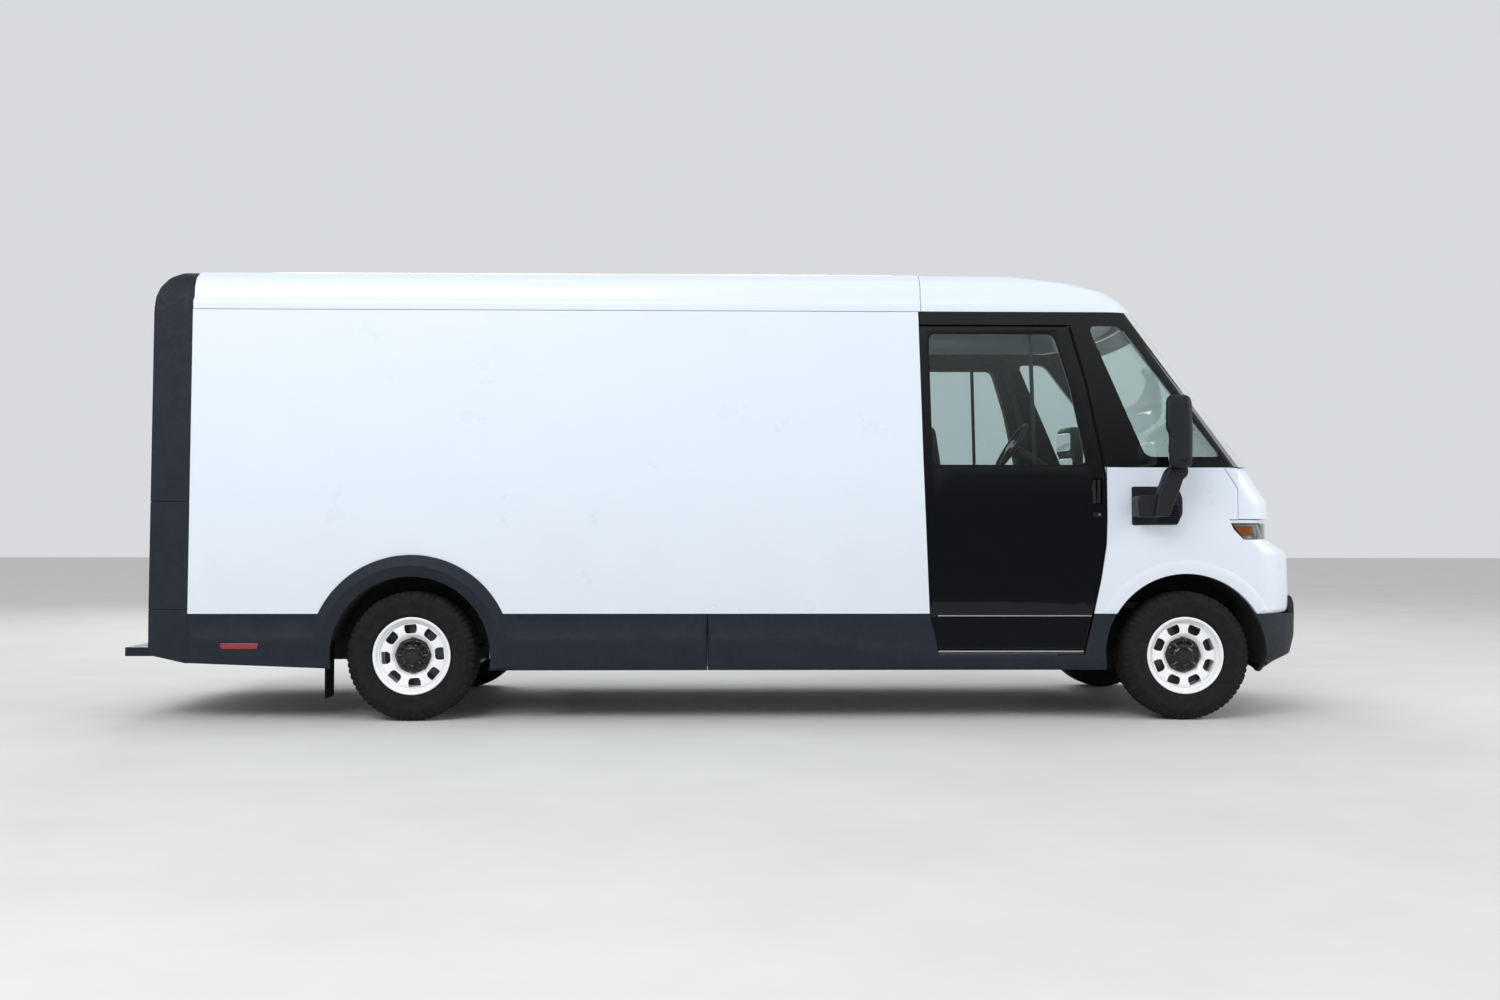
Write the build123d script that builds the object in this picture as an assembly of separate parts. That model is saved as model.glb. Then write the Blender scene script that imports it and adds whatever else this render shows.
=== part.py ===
from build123d import *

import os
from math import hypot, radians, sqrt, tan

# Electric walk-in delivery van, built from its real panels and running gear.
# Millimetres. +X is forward, +Y is the van's left side, +Z is up. The origin is on the ground,
# midway along the length and on the centre line. Side parts are drawn on the left and mirrored.

# Driving sizes of the whole van
WHEELBASE = 4661
REAR_OVERHANG = 1740      # rear axle to the back edge of the rear step
FRONT_OVERHANG = 866      # front axle to the bumper's nose
BODY_HALF_WIDTH = 1100
FAR = 9000                # past the whole van, where cutters may end
TUMBLEHOME = 1.36         # degrees that the sides lean in above the belt line
BELT_Z = 643              # painted panels start here, dark cladding hangs below
ROOF_SEAM_Z = 2467
ROOF_RISE = 288           # from the seam to the crown of the roof
FLOOR_Z = 700
FLOOR_THICKNESS = 50
WALL = 90                 # cargo side, outer skin to inner lining
CAB_WALL = 50
PANEL_GAP = 6             # running gap round a door

LENGTH = REAR_OVERHANG + WHEELBASE + FRONT_OVERHANG
REAR_AXLE_X = REAR_OVERHANG - LENGTH / 2
FRONT_AXLE_X = REAR_AXLE_X + WHEELBASE

# Wheels: 17 inch steel rims, tyres of 245 mm section
TYRE_RADIUS = 388
TYRE_HALF_WIDTH = 122
WHEEL_Y = 960             # middle plane of each wheel
HUB_INNER = 44            # hub's inner face from the wheel's middle plane
SEAT = 0.3                # clearance of a moving piece at its seat
RIM_FLANGE_RADIUS = 233
RIM_HALF_WIDTH = 100
BEAD_RADIUS = 217
BEAD_Y = 89
HUB_RADIUS = 55
WINDOW_COUNT = 8
FRONT_ARCH_RADIUS = 495
REAR_ARCH_RADIUS = 476
FLARE_BACK_Y = BODY_HALF_WIDTH - 40
FLARE_RADIUS = 606
KINGPIN_Y = 890

# Side doors, measured from the front axle
DOOR_THICKNESS = 46
DOOR_SKIN = 14            # cargo skin outside the door's pocket
DOOR_BOTTOM_Z = 430
DOOR_TOP_Z = 2385
DOOR_TRAVEL = 880
DOOR_REAR_X = -1676       # the rear edge stays inside the pocket
SILL_Z = 422

# Ladder frame
RAIL_Y = 430
RAIL_WIDTH = 70
RAIL_BOTTOM_Z = 480


BEYOND_Y = BODY_HALF_WIDTH + 100    # cutters of one side run from here to here
WITHIN_Y = BODY_HALF_WIDTH - 200

os.makedirs("parts", exist_ok=True)


def side_y(z):
    """Half width of the painted body at height z."""
    return BODY_HALF_WIDTH - max(0, z - BELT_Z) * tan(radians(TUMBLEHOME))


def roof_z(height):
    """Height on the roof, drawn above the seam for a rise of 288 mm."""
    return ROOF_SEAM_Z + height * ROOF_RISE / 288


def roof_points(points):
    """Points (Y, Z) on the roof, from the body's half width inwards and from the seam up."""
    return [(BODY_HALF_WIDTH - y, roof_z(height)) for y, height in points]


def front(points):
    """Points given from the front axle, moved to the van's frame."""
    return [(FRONT_AXLE_X + x, z) for x, z in points]


def rear(points):
    """Points given from the rear axle, moved to the van's frame."""
    return [(REAR_AXLE_X + x, z) for x, z in points]


def block(x0, x1, y0, y1, z0, z1):
    """Box between two corners."""
    return Pos((x0 + x1) / 2, (y0 + y1) / 2, (z0 + z1) / 2) * Box(x1 - x0, y1 - y0, z1 - z0)


def side_plate(points, y0, y1, corner=0):
    """Side view outline (X, Z) made into a plate from y0 to y1."""
    face = Face(Wire.make_polygon([(x, y0, z) for x, z in points]))
    if corner:
        face = face.fillet_2d(corner, face.vertices())
    return Solid.extrude(face, Vector(0, y1 - y0, 0))


def cross_section(points, x0, x1):
    """Outline seen from the front (Y, Z) run along the van from x0 to x1."""
    face = Face(Wire.make_polygon([(x0, y, z) for y, z in points]))
    return Solid.extrude(face, Vector(x1 - x0, 0, 0))


def leaning_slab(x0, x1, z0, z1, outer, thickness):
    """Wall that follows the body side, its face `outer` mm inside the paint."""
    levels = sorted({z0, z1} | ({BELT_Z} if z0 < BELT_Z < z1 else set()))
    face = [(side_y(z) - outer, z) for z in levels]
    back = [(side_y(z) - outer - thickness, z) for z in reversed(levels)]
    return cross_section(face + back, x0, x1)


def both(solid):
    """The piece and its mirror image on the right."""
    return [solid, mirror(solid, about=Plane.XZ)]


def wheel_cylinder(x, radius, y0, y1, z=TYRE_RADIUS):
    """Cylinder across the van, centred on a wheel."""
    turned = Rot(90, 0, 0) * Cylinder(radius, y1 - y0)
    return Pos(x, (y0 + y1) / 2, z) * turned


def plan_wire(z, nose, half_width, corner, bow, back, half_back=None):
    """Outline seen from above: a bowed front, two rounded corners and nearly straight sides."""
    centre_x = nose - bow
    corner_y = half_width - corner
    corner_x = centre_x + sqrt((bow - corner) ** 2 - corner_y ** 2)
    reach = hypot(corner_x - centre_x, corner_y)
    meet = (centre_x + bow * (corner_x - centre_x) / reach, bow * corner_y / reach)
    mid = hypot(meet[0] - corner_x, half_width + meet[1] - 2 * corner_y)
    middle = (corner_x + corner * (meet[0] - corner_x) / mid,
              corner_y + corner * (half_width + meet[1] - 2 * corner_y) / mid)
    points = [(back, half_back or half_width), (corner_x, half_width), middle, meet, (nose, 0)]
    left = [Vector(x, y, z) for x, y in points]
    right = [Vector(x, -y, z) for x, y in points]
    return Wire([
        Edge.make_line(left[0], left[1]),
        Edge.make_three_point_arc(left[1], left[2], left[3]),
        Edge.make_three_point_arc(left[3], left[4], right[3]),
        Edge.make_three_point_arc(right[3], right[2], right[1]),
        Edge.make_line(right[1], right[0]),
        Edge.make_line(right[0], left[0]),
    ])


def cab_volume(levels, inset=0, rise=0, back=-2000):
    """Ruled body through plan outlines; each level is z, nose from the front axle, corner, bow."""
    wires = [
        plan_wire(z - rise, FRONT_AXLE_X + nose - inset, side_y(z) - inset,
                  max(corner - inset, 20), bow - inset, FRONT_AXLE_X + back)
        for z, nose, corner, bow in levels
    ]
    return Solid.make_loft(wires, ruled=True)


def cab_shell(levels, thickness, back):
    """The skin of such a body, open above, below and behind."""
    first, last = levels[0], levels[-1]
    inner = [(first[0] - 1, *first[1:]), *levels[1:-1], (last[0] + 1, *last[1:])]
    skin = cab_volume(levels, back=back - 400) - cab_volume(inner, thickness, back=back - 410)
    return skin & block(FRONT_AXLE_X + back, FAR, -FAR, FAR, 0, FAR)


def half_only(shape, y0=0, y1=FAR):
    """The part of a full width shape that lies on the left."""
    return shape & block(-FAR, FAR, y0, y1, -FAR, FAR)


def save(name, shapes):
    """One STEP file per sub-part."""
    solids = []
    for shape in shapes if isinstance(shapes, list) else [shapes]:
        solids += shape.solids()
    export_step(Compound(children=solids) if len(solids) > 1 else solids[0], f"parts/{name}.step")


# Levels of the cab's front: height, nose from the front axle, plan corner radius, plan bow radius
BUMPER_LEVELS = [(285, 660, 300, 3000), (347, 739, 300, 3000), (392, 834, 300, 3000),
                 (504, 862, 300, 3000), (BELT_Z, FRONT_OVERHANG, 300, 3000)]
BUMPER_LIP_Z = 745
LAMP_BOTTOM_Z, LAMP_TOP_Z = 1089, 1211
COWL_Z = 1525
NOSE_LEVELS = [(BELT_Z, 819, 300, 3000), (786, 828, 300, 3000), (1005, 820, 300, 3000),
               (1055, 747, 220, 3000), (LAMP_BOTTOM_Z, 696, 180, 3000)]
LAMP_LEVELS = [(LAMP_BOTTOM_Z, 682, 180, 3000), (LAMP_TOP_Z, 682, 180, 3000)]
HOOD_LEVELS = [(LAMP_TOP_Z, 702, 180, 3000), (1316, 699, 180, 3000), (1366, 662, 180, 3000),
               (COWL_Z, 560, 180, 3000)]
GLASS_LEVELS = [(COWL_Z, 539, 130, 3470), (ROOF_SEAM_Z, -156, 130, 3470)]
FENDER_FRONT_X = 369
HOOD_REAR_X = 316
PILLAR_WIDTH = 170
WINDSHIELD_HALF = BODY_HALF_WIDTH - PILLAR_WIDTH
GLASS = 8

# Cross section of the roof's left half, seam to crown: half width, height
ROOF_EDGE = [(side_y(roof_z(55)), roof_z(55))]
ROOF_EDGE += roof_points([(68, 77), (72, 142), (98, 193), (170, 245), (460, 275)])


def roof_outline(edge, crown):
    """Closed outline from a list of points on the left half."""
    return edge + [(0, crown)] + [(-y, z) for y, z in reversed(edge)]


# Ladder frame, battery and drive
CROSSMEMBERS = [REAR_AXLE_X + x for x in (-1420, -700, 700, 2000, 3300)]
CROSSMEMBERS += [FRONT_AXLE_X - 411, FRONT_AXLE_X + 419]
rail_ends = (REAR_AXLE_X - 1480, FRONT_AXLE_X + 470)
rail_top = FLOOR_Z - FLOOR_THICKNESS
frame = block(*rail_ends, RAIL_Y - RAIL_WIDTH / 2, RAIL_Y + RAIL_WIDTH / 2, RAIL_BOTTOM_Z, rail_top)
frame += mirror(frame, about=Plane.XZ)
for middle in CROSSMEMBERS:
    frame += block(middle - 40, middle + 40, -RAIL_Y, RAIL_Y, RAIL_BOTTOM_Z + 20, rail_top - 30)
save("frame", frame)

battery = block(REAR_AXLE_X + 850, FRONT_AXLE_X - 700, -728, 728, 295, RAIL_BOTTOM_Z)
save("battery_pack", battery)

# Front drive unit with its half shafts, and the rear unit on the axle beam
AXLE_Z = TYRE_RADIUS
SHAFT_END_Y = 822
unit = wheel_cylinder(FRONT_AXLE_X, 150, -330, 330)
unit += block(FRONT_AXLE_X - 190, FRONT_AXLE_X + 60, -180, 180, AXLE_Z - 110, RAIL_BOTTOM_Z + 10)
unit += block(FRONT_AXLE_X - 60, FRONT_AXLE_X + 60, -450, 450, 310, 336)
shaft = wheel_cylinder(FRONT_AXLE_X, 20, 320, SHAFT_END_Y)
shaft += wheel_cylinder(FRONT_AXLE_X, 42, 740, SHAFT_END_Y)
save("drive_unit", unit + shaft + mirror(shaft, about=Plane.XZ))

# Front subframe: two cross tubes on posts below the rails, and the steering rack
subframe = None
for x in (-230, 230):
    tube = block(FRONT_AXLE_X + x - 35, FRONT_AXLE_X + x + 35, -500, 500, 262, 330)
    for y in (-RAIL_Y, RAIL_Y):
        tube += block(FRONT_AXLE_X + x - 35, FRONT_AXLE_X + x + 35, y - 35, y + 35, 320, RAIL_BOTTOM_Z)
    subframe = tube if subframe is None else subframe + tube
for y in (-460, 460):
    subframe += block(FRONT_AXLE_X - 230, FRONT_AXLE_X + 230, y - 40, y + 40, 262, 310)
rack = Pos(FRONT_AXLE_X - 250, 0, 352) * Rot(90, 0, 0) * Cylinder(28, 760)
save("front_subframe", subframe + rack)

# Front wishbones, pinned to the knuckle on the kingpin
PIN_RADIUS = 14
PIN_FIT = 0.05
LOWER_PIN_Z = 240
UPPER_PIN_Z = 540
ARM_THICKNESS = 26


def wishbone(z, spread, inner_y):
    """A flat two legged arm from the frame side out to its ball joint."""
    outer = [(FRONT_AXLE_X + spread, inner_y), (FRONT_AXLE_X + 32, KINGPIN_Y - 30),
             (FRONT_AXLE_X + 32, KINGPIN_Y + 22), (FRONT_AXLE_X - 32, KINGPIN_Y + 22),
             (FRONT_AXLE_X - 32, KINGPIN_Y - 30), (FRONT_AXLE_X - spread, inner_y)]
    face = Face(Wire.make_polygon([(x, y, z) for x, y in outer]))
    arm = Solid.extrude(face, Vector(0, 0, ARM_THICKNESS))
    gap = [(FRONT_AXLE_X + spread - 70, inner_y - 5), (FRONT_AXLE_X, KINGPIN_Y - 130),
           (FRONT_AXLE_X - spread + 70, inner_y - 5)]
    hole = Solid.extrude(Face(Wire.make_polygon([(x, y, z - 5) for x, y in gap])),
                         Vector(0, 0, ARM_THICKNESS + 10))
    pin_hole = Pos(FRONT_AXLE_X, KINGPIN_Y, z) * Cylinder(PIN_RADIUS + PIN_FIT, 4 * ARM_THICKNESS)
    return arm - hole - pin_hole


lower_arm = wishbone(LOWER_PIN_Z - ARM_THICKNESS, 230, 500)
lower_arm += block(FRONT_AXLE_X - 230, FRONT_AXLE_X - 160, 500, 528, LOWER_PIN_Z - ARM_THICKNESS, 300)
lower_arm += block(FRONT_AXLE_X + 160, FRONT_AXLE_X + 230, 500, 528, LOWER_PIN_Z - ARM_THICKNESS, 300)
upper_arm = wishbone(UPPER_PIN_Z, 170, RAIL_Y + RAIL_WIDTH / 2)
save("wishbones", both(lower_arm) + both(upper_arm))

# Knuckles: an upright on the kingpin that carries the front hub inside the rim
KNUCKLE_HALF = 36
HUB_END_Y = WHEEL_Y - HUB_INNER - SEAT
upright = block(FRONT_AXLE_X - KNUCKLE_HALF, FRONT_AXLE_X + KNUCKLE_HALF, KINGPIN_Y - 25, KINGPIN_Y + 20,
                LOWER_PIN_Z + SEAT, UPPER_PIN_Z - SEAT)
upright += wheel_cylinder(FRONT_AXLE_X, 62, KINGPIN_Y - 35, HUB_END_Y)
upright += block(FRONT_AXLE_X - 150, FRONT_AXLE_X, KINGPIN_Y - 22, KINGPIN_Y + 2, 330, 362)
pin_length = UPPER_PIN_Z - LOWER_PIN_Z + 2 * ARM_THICKNESS
upright += Pos(FRONT_AXLE_X, KINGPIN_Y, (UPPER_PIN_Z + LOWER_PIN_Z) / 2) * Cylinder(PIN_RADIUS, pin_length)
for name, knuckle in zip(("knuckle_left", "knuckle_right"), both(upright)):
    save(name, knuckle)


def revolve_section(points, x, y_middle, outward=1):
    """Profile of (radius, outboard distance) turned about a wheel's axle."""
    face = Face(Wire.make_polygon([(x + r, y_middle + outward * y, AXLE_Z) for r, y in points]))
    return revolve(face, Axis((x, 0, AXLE_Z), (0, 1, 0)), 360)


TYRE_OUTER = [(BEAD_RADIUS, BEAD_Y), (234, BEAD_Y), (246, 104), (278, 118), (312, TYRE_HALF_WIDTH),
              (348, 119), (374, 109), (385, 96), (TYRE_RADIUS, 74)]
RIM_BARREL = [(RIM_FLANGE_RADIUS, RIM_HALF_WIDTH), (RIM_FLANGE_RADIUS, BEAD_Y), (BEAD_RADIUS, BEAD_Y),
              (BEAD_RADIUS, 66), (200, 56), (200, -40), (BEAD_RADIUS, -56), (BEAD_RADIUS, -BEAD_Y),
              (RIM_FLANGE_RADIUS, -BEAD_Y), (RIM_FLANGE_RADIUS, -RIM_HALF_WIDTH),
              (209, -RIM_HALF_WIDTH), (207, -52), (191, -34), (191, 58), (209, RIM_HALF_WIDTH)]
RIM_DISC = [(196, 88), (190, 68), (152, 65), (120, 48), (HUB_RADIUS + 0.5, 48), (HUB_RADIUS + 0.5, 34),
            (115, 36), (150, 51), (196, 54)]
HUB_PROFILE = [(0, -HUB_INNER), (HUB_RADIUS, -HUB_INNER), (HUB_RADIUS, -28), (165, -28), (165, -6),
               (HUB_RADIUS + 20, -6), (HUB_RADIUS + 20, 34), (HUB_RADIUS, 34), (HUB_RADIUS, 48), (107, 48),
               (107, 56), (84, 64), (62, 66), (56, 84), (0, 86)]
WINDOW_INNER, WINDOW_OUTER = 128, 184


def rim(x, y, outward, first_angle):
    """Steel wheel with a ring of trapezoid windows."""
    wheel = revolve_section(RIM_BARREL, x, y, outward) + revolve_section(RIM_DISC, x, y, outward)
    for k in range(WINDOW_COUNT):
        face = Face(Wire.make_polygon([(WINDOW_INNER, 0, -23), (WINDOW_OUTER, 0, -32),
                                       (WINDOW_OUTER, 0, 32), (WINDOW_INNER, 0, 23)]))
        face = face.fillet_2d(11, face.vertices())
        cutter = Pos(0, y + outward * 20, 0) * Solid.extrude(face, Vector(0, outward * 80, 0))
        turn = first_angle + k * 360 / WINDOW_COUNT
        wheel -= Pos(x, 0, AXLE_Z) * Rot(0, turn, 0) * cutter
    return wheel


for axle, axle_x, first_angle in (("front", FRONT_AXLE_X, 22.5), ("rear", REAR_AXLE_X, -4.5)):
    half = TYRE_OUTER + [(r, -y) for r, y in reversed(TYRE_OUTER)]
    for side, outward in (("left", 1), ("right", -1)):
        middle = outward * WHEEL_Y
        save(f"tyre_{axle}_{side}", revolve_section(half, axle_x, middle, outward))
        save(f"rim_{axle}_{side}", rim(axle_x, middle, outward, first_angle))
        save(f"hub_{axle}_{side}", revolve_section(HUB_PROFILE, axle_x, middle, outward))

# Rear beam axle with its motor, leaf springs, dampers
BEAM_END_Y = WHEEL_Y - HUB_INNER - SEAT
SPRING_Y = 560
beam = wheel_cylinder(REAR_AXLE_X, 55, -BEAM_END_Y, BEAM_END_Y) + wheel_cylinder(REAR_AXLE_X, 165, -250, 250)
beam += block(REAR_AXLE_X, REAR_AXLE_X + 330, -190, 190, AXLE_Z - 90, AXLE_Z + 80)
save("rear_axle", beam)

SPRING_REACH = 720
spring_eye_z = 300
spring_top = AXLE_Z + 55
leaf = side_plate([(REAR_AXLE_X - SPRING_REACH, spring_eye_z), (REAR_AXLE_X - 90, spring_top),
                   (REAR_AXLE_X + 90, spring_top), (REAR_AXLE_X + SPRING_REACH, spring_eye_z),
                   (REAR_AXLE_X + SPRING_REACH, spring_eye_z + 22), (REAR_AXLE_X + 90, spring_top + 40),
                   (REAR_AXLE_X - 90, spring_top + 40), (REAR_AXLE_X - SPRING_REACH, spring_eye_z + 22)],
                  SPRING_Y - 38, SPRING_Y + 38)
for end in (-SPRING_REACH, SPRING_REACH):
    leaf += wheel_cylinder(REAR_AXLE_X + end, 26, SPRING_Y - 38, SPRING_Y + 38, spring_eye_z + 4)
    leaf += block(REAR_AXLE_X + end - 20, REAR_AXLE_X + end + 20, RAIL_Y + RAIL_WIDTH / 2, SPRING_Y + 38,
                  spring_eye_z + 20, RAIL_BOTTOM_Z + 60)
save("leaf_springs", both(leaf))

STANDING = (Align.CENTER, Align.CENTER, Align.MIN)
front_damper = Pos(FRONT_AXLE_X + 172, 556, LOWER_PIN_Z) * Cylinder(24, 400, align=STANDING)
front_damper += block(FRONT_AXLE_X + 140, FRONT_AXLE_X + 196, RAIL_Y + RAIL_WIDTH / 2, 580, 600, 645)
rear_damper = Pos(REAR_AXLE_X, 700, AXLE_Z + 55) * Cylinder(28, rail_top - AXLE_Z - 55, align=STANDING)
save("dampers", both(front_damper) + both(rear_damper))

# Wheel arch liners: a half tube over the wheel and a wall on its inner side
LINER_SKIN = 8


def liner(axle_x, radius, inner_y, outer_y, bottom):
    """Sheet liner down to a height a little below the axle."""
    tube = wheel_cylinder(axle_x, radius + LINER_SKIN, inner_y, outer_y)
    tube -= wheel_cylinder(axle_x, radius, inner_y + LINER_SKIN, outer_y + 1)
    return tube & block(axle_x - 900, axle_x + 900, 0, FAR, bottom, FAR)


LINER_OUTER_Y = side_y(900) - CAB_WALL
front_liner = liner(FRONT_AXLE_X, FRONT_ARCH_RADIUS + 2, 596, LINER_OUTER_Y, 330)
front_liner -= block(FRONT_AXLE_X - 280, FRONT_AXLE_X + 280, 590, 606, 300, 690)
front_liner -= block(FRONT_AXLE_X - 600, FRONT_AXLE_X, 500, BEYOND_Y, 300, RAIL_BOTTOM_Z)
rear_liner = liner(REAR_AXLE_X, REAR_ARCH_RADIUS + 2, 775, side_y(900) - 40, RAIL_BOTTOM_Z)
save("wheel_liners", both(front_liner) + both(rear_liner))
liner_room = [wheel_cylinder(FRONT_AXLE_X, FRONT_ARCH_RADIUS + 2 + LINER_SKIN, 596, BEYOND_Y),
              wheel_cylinder(REAR_AXLE_X, REAR_ARCH_RADIUS + 2 + LINER_SKIN, 775, BEYOND_Y)]
liner_room += [mirror(room, about=Plane.XZ) for room in liner_room]

# Floor: cargo deck, cab deck between the step wells, and the firewall
BODY_REAR_X = REAR_AXLE_X - 1548
PAINT_REAR_X = REAR_AXLE_X - 1318
BULKHEAD_X = FRONT_AXLE_X - 1620
BULKHEAD_THICKNESS = 40
WELL_REAR_X, WELL_FRONT_X = FRONT_AXLE_X - 1504, FRONT_AXLE_X - 624
WELL_Y = 745
FIREWALL_X = FRONT_AXLE_X - 161
deck_y = side_y(FLOOR_Z) - WALL
deck = block(BODY_REAR_X + 60, FRONT_AXLE_X - 400, -deck_y, deck_y, rail_top, FLOOR_Z)
deck += block(FRONT_AXLE_X - 400, FIREWALL_X + 30, -590, 590, rail_top, FLOOR_Z)
deck += block(FIREWALL_X, FIREWALL_X + 30, -side_y(1500) + CAB_WALL, side_y(1500) - CAB_WALL, FLOOR_Z, 1470)
tray_outer_y = BODY_HALF_WIDTH - 15
well_outer_y = side_y(DOOR_BOTTOM_Z) - 20 - DOOR_THICKNESS - PANEL_GAP
for y in (-1, 1):
    room = [WELL_Y, BEYOND_Y] if y > 0 else [-BEYOND_Y, -WELL_Y]
    deck -= block(WELL_REAR_X, WELL_FRONT_X, *room, SILL_Z - 50, FLOOR_Z + 50)
    riser = [WELL_Y - 15, WELL_Y] if y > 0 else [-WELL_Y, 15 - WELL_Y]
    deck += block(WELL_REAR_X - 15, WELL_FRONT_X + 15, *riser, SILL_Z - 24, FLOOR_Z - 1)
    ends = [WELL_Y - 15, well_outer_y] if y > 0 else [-well_outer_y, 15 - WELL_Y]
    deck += block(WELL_REAR_X - 15, WELL_REAR_X, *ends, SILL_Z - 24, FLOOR_Z - 1)
    deck += block(WELL_FRONT_X, WELL_FRONT_X + 15, *ends, SILL_Z - 24, FLOOR_Z - 1)
    tray = [WELL_Y - 15, tray_outer_y] if y > 0 else [-tray_outer_y, 15 - WELL_Y]
    deck += block(WELL_REAR_X, WELL_FRONT_X, *tray, SILL_Z - 24, SILL_Z)
for room in liner_room:
    deck -= room
save("floor", deck)

# Cargo sides, each a wall with the door's pocket open at the front
PAINT_FRONT_EDGE = [(-1618, ROOF_SEAM_Z), (-1590, 1569), (-1557, BELT_Z)]
outline = rear([(-1318, BELT_Z), (-1318, ROOF_SEAM_Z)]) + front(PAINT_FRONT_EDGE)
side = leaning_slab(PAINT_REAR_X, FRONT_AXLE_X - 1557, BELT_Z, ROOF_SEAM_Z, 0, WALL)
side &= side_plate(outline, WITHIN_Y, BEYOND_Y)
pocket_x = FRONT_AXLE_X + DOOR_REAR_X - DOOR_TRAVEL - 20
side -= leaning_slab(pocket_x, FRONT_AXLE_X, BELT_Z - 100, DOOR_TOP_Z + 12, DOOR_SKIN,
                     DOOR_THICKNESS + 2 * PANEL_GAP + 2)
side -= wheel_cylinder(REAR_AXLE_X, FLARE_RADIUS, FLARE_BACK_Y - 2, BEYOND_Y)
side -= wheel_cylinder(REAR_AXLE_X, REAR_ARCH_RADIUS + 2 + LINER_SKIN, WITHIN_Y, BEYOND_Y)
save("cargo_sides", both(side))

# Roofs
ceiling = [(side_y(ROOF_SEAM_Z) - WALL, ROOF_SEAM_Z), *roof_points([(142, 133), (220, 201)]),
           (0, roof_z(238))]
cargo_roof_x = (PAINT_REAR_X, FRONT_AXLE_X - 1602)
edge = [(side_y(ROOF_SEAM_Z), ROOF_SEAM_Z)] + ROOF_EDGE
roof = cross_section(roof_outline(edge, ROOF_SEAM_Z + ROOF_RISE), *cargo_roof_x)
roof -= cross_section(ceiling + [(-y, z) for y, z in reversed(ceiling[:-1])],
                      cargo_roof_x[0] - 10, cargo_roof_x[1] + 10)
save("cargo_roof", roof)

# Rear surround: the black portal round the shutter, rounded over at the top
APERTURE_Y = BODY_HALF_WIDTH - 220
APERTURE_TOP_Z = 2430
SURROUND_BOTTOM_Z = 350
portal_edge = [(BODY_HALF_WIDTH, SURROUND_BOTTOM_Z), (BODY_HALF_WIDTH, BELT_Z), (side_y(2440), 2440),
               *roof_points([(56, 63), (82, 143), (125, 205), (200, 243)])]
portal = cross_section(roof_outline(portal_edge, roof_z(273)), BODY_REAR_X, PAINT_REAR_X)
profile = rear([(-1318, 348), (-1318, roof_z(283)), (-1385, roof_z(261)), (-1440, roof_z(233)),
                (-1490, roof_z(188)), (-1525, roof_z(133)), (-1543, roof_z(78)), (-1548, roof_z(13)),
                (-1548, 440), (-1513, 392)])
portal &= side_plate(profile, -BEYOND_Y, BEYOND_Y)
inside = [(deck_y, SURROUND_BOTTOM_Z - 10), (deck_y, FLOOR_Z), (side_y(ROOF_SEAM_Z) - WALL, ROOF_SEAM_Z),
          *roof_points([(142, 133), (220, 195)])]
LEDGE_X = BODY_REAR_X + 110
ledge_z = roof_z(133)
portal -= cross_section(roof_outline(inside, roof_z(223)), LEDGE_X, PAINT_REAR_X + 10)
low_inside = cross_section(roof_outline(inside, roof_z(223)), BODY_REAR_X + 60, LEDGE_X + 1)
portal -= low_inside & block(BODY_REAR_X, LEDGE_X + 1, -BEYOND_Y, BEYOND_Y, 0, ledge_z)
portal -= block(BODY_REAR_X - 10, BODY_REAR_X + 70, -APERTURE_Y, APERTURE_Y, FLOOR_Z, APERTURE_TOP_Z)
STEP_TOP_Z = 434
STEP_DEPTH = REAR_OVERHANG - 1548
STEP_HALF_WIDTH = BODY_HALF_WIDTH - 140
portal -= block(BODY_REAR_X - 10, PAINT_REAR_X + 10, -STEP_HALF_WIDTH, STEP_HALF_WIDTH, 300, RAIL_BOTTOM_Z)
PLATE_HOLE_RADIUS = 3.5
PLATE_HOLE_SPACING = 177.8
PLATE_Z = 600
for y in (-PLATE_HOLE_SPACING / 2, PLATE_HOLE_SPACING / 2):
    portal -= Pos(BODY_REAR_X + 15, y, PLATE_Z) * Rot(0, 90, 0) * Cylinder(PLATE_HOLE_RADIUS, 30)
save("rear_surround", portal)

# Roll-up shutter in its guides, ribbed between slats
SLAT_PITCH = 145
shutter_x = BODY_REAR_X + 60
shutter = block(shutter_x, shutter_x + 26, -APERTURE_Y - 40, APERTURE_Y + 40, FLOOR_Z, APERTURE_TOP_Z + 60)
z = FLOOR_Z + SLAT_PITCH
while z < APERTURE_TOP_Z:
    shutter -= block(shutter_x - 1, shutter_x + 6, -APERTURE_Y, APERTURE_Y, z - 5, z + 5)
    z += SLAT_PITCH
save("rear_shutter", shutter)

step = block(BODY_REAR_X - STEP_DEPTH, BODY_REAR_X + 40, -STEP_HALF_WIDTH, STEP_HALF_WIDTH,
             STEP_TOP_Z - 53, STEP_TOP_Z)
for y in (-RAIL_Y, RAIL_Y):
    step += block(BODY_REAR_X, rail_ends[0] + 120, y - 35, y + 35, STEP_TOP_Z - 53, RAIL_BOTTOM_Z)
save("rear_step", step)

# Rear lamps on the pillars and the side markers in the skirts
rear_lamps = block(BODY_REAR_X - 12, BODY_REAR_X, BODY_HALF_WIDTH - 175, BODY_HALF_WIDTH - 65, 1180, 1560)
MARKER_OUTLINE = rear([(-1127, 468), (-891, 468), (-903, 434), (-1115, 434)])
MARKER_BACK_Y, MARKER_FACE_Y = BODY_HALF_WIDTH + 6, BODY_HALF_WIDTH + 17
side_marker = side_plate(MARKER_OUTLINE, MARKER_BACK_Y, MARKER_FACE_Y)
save("red_lamps", both(rear_lamps) + both(side_marker))

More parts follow.
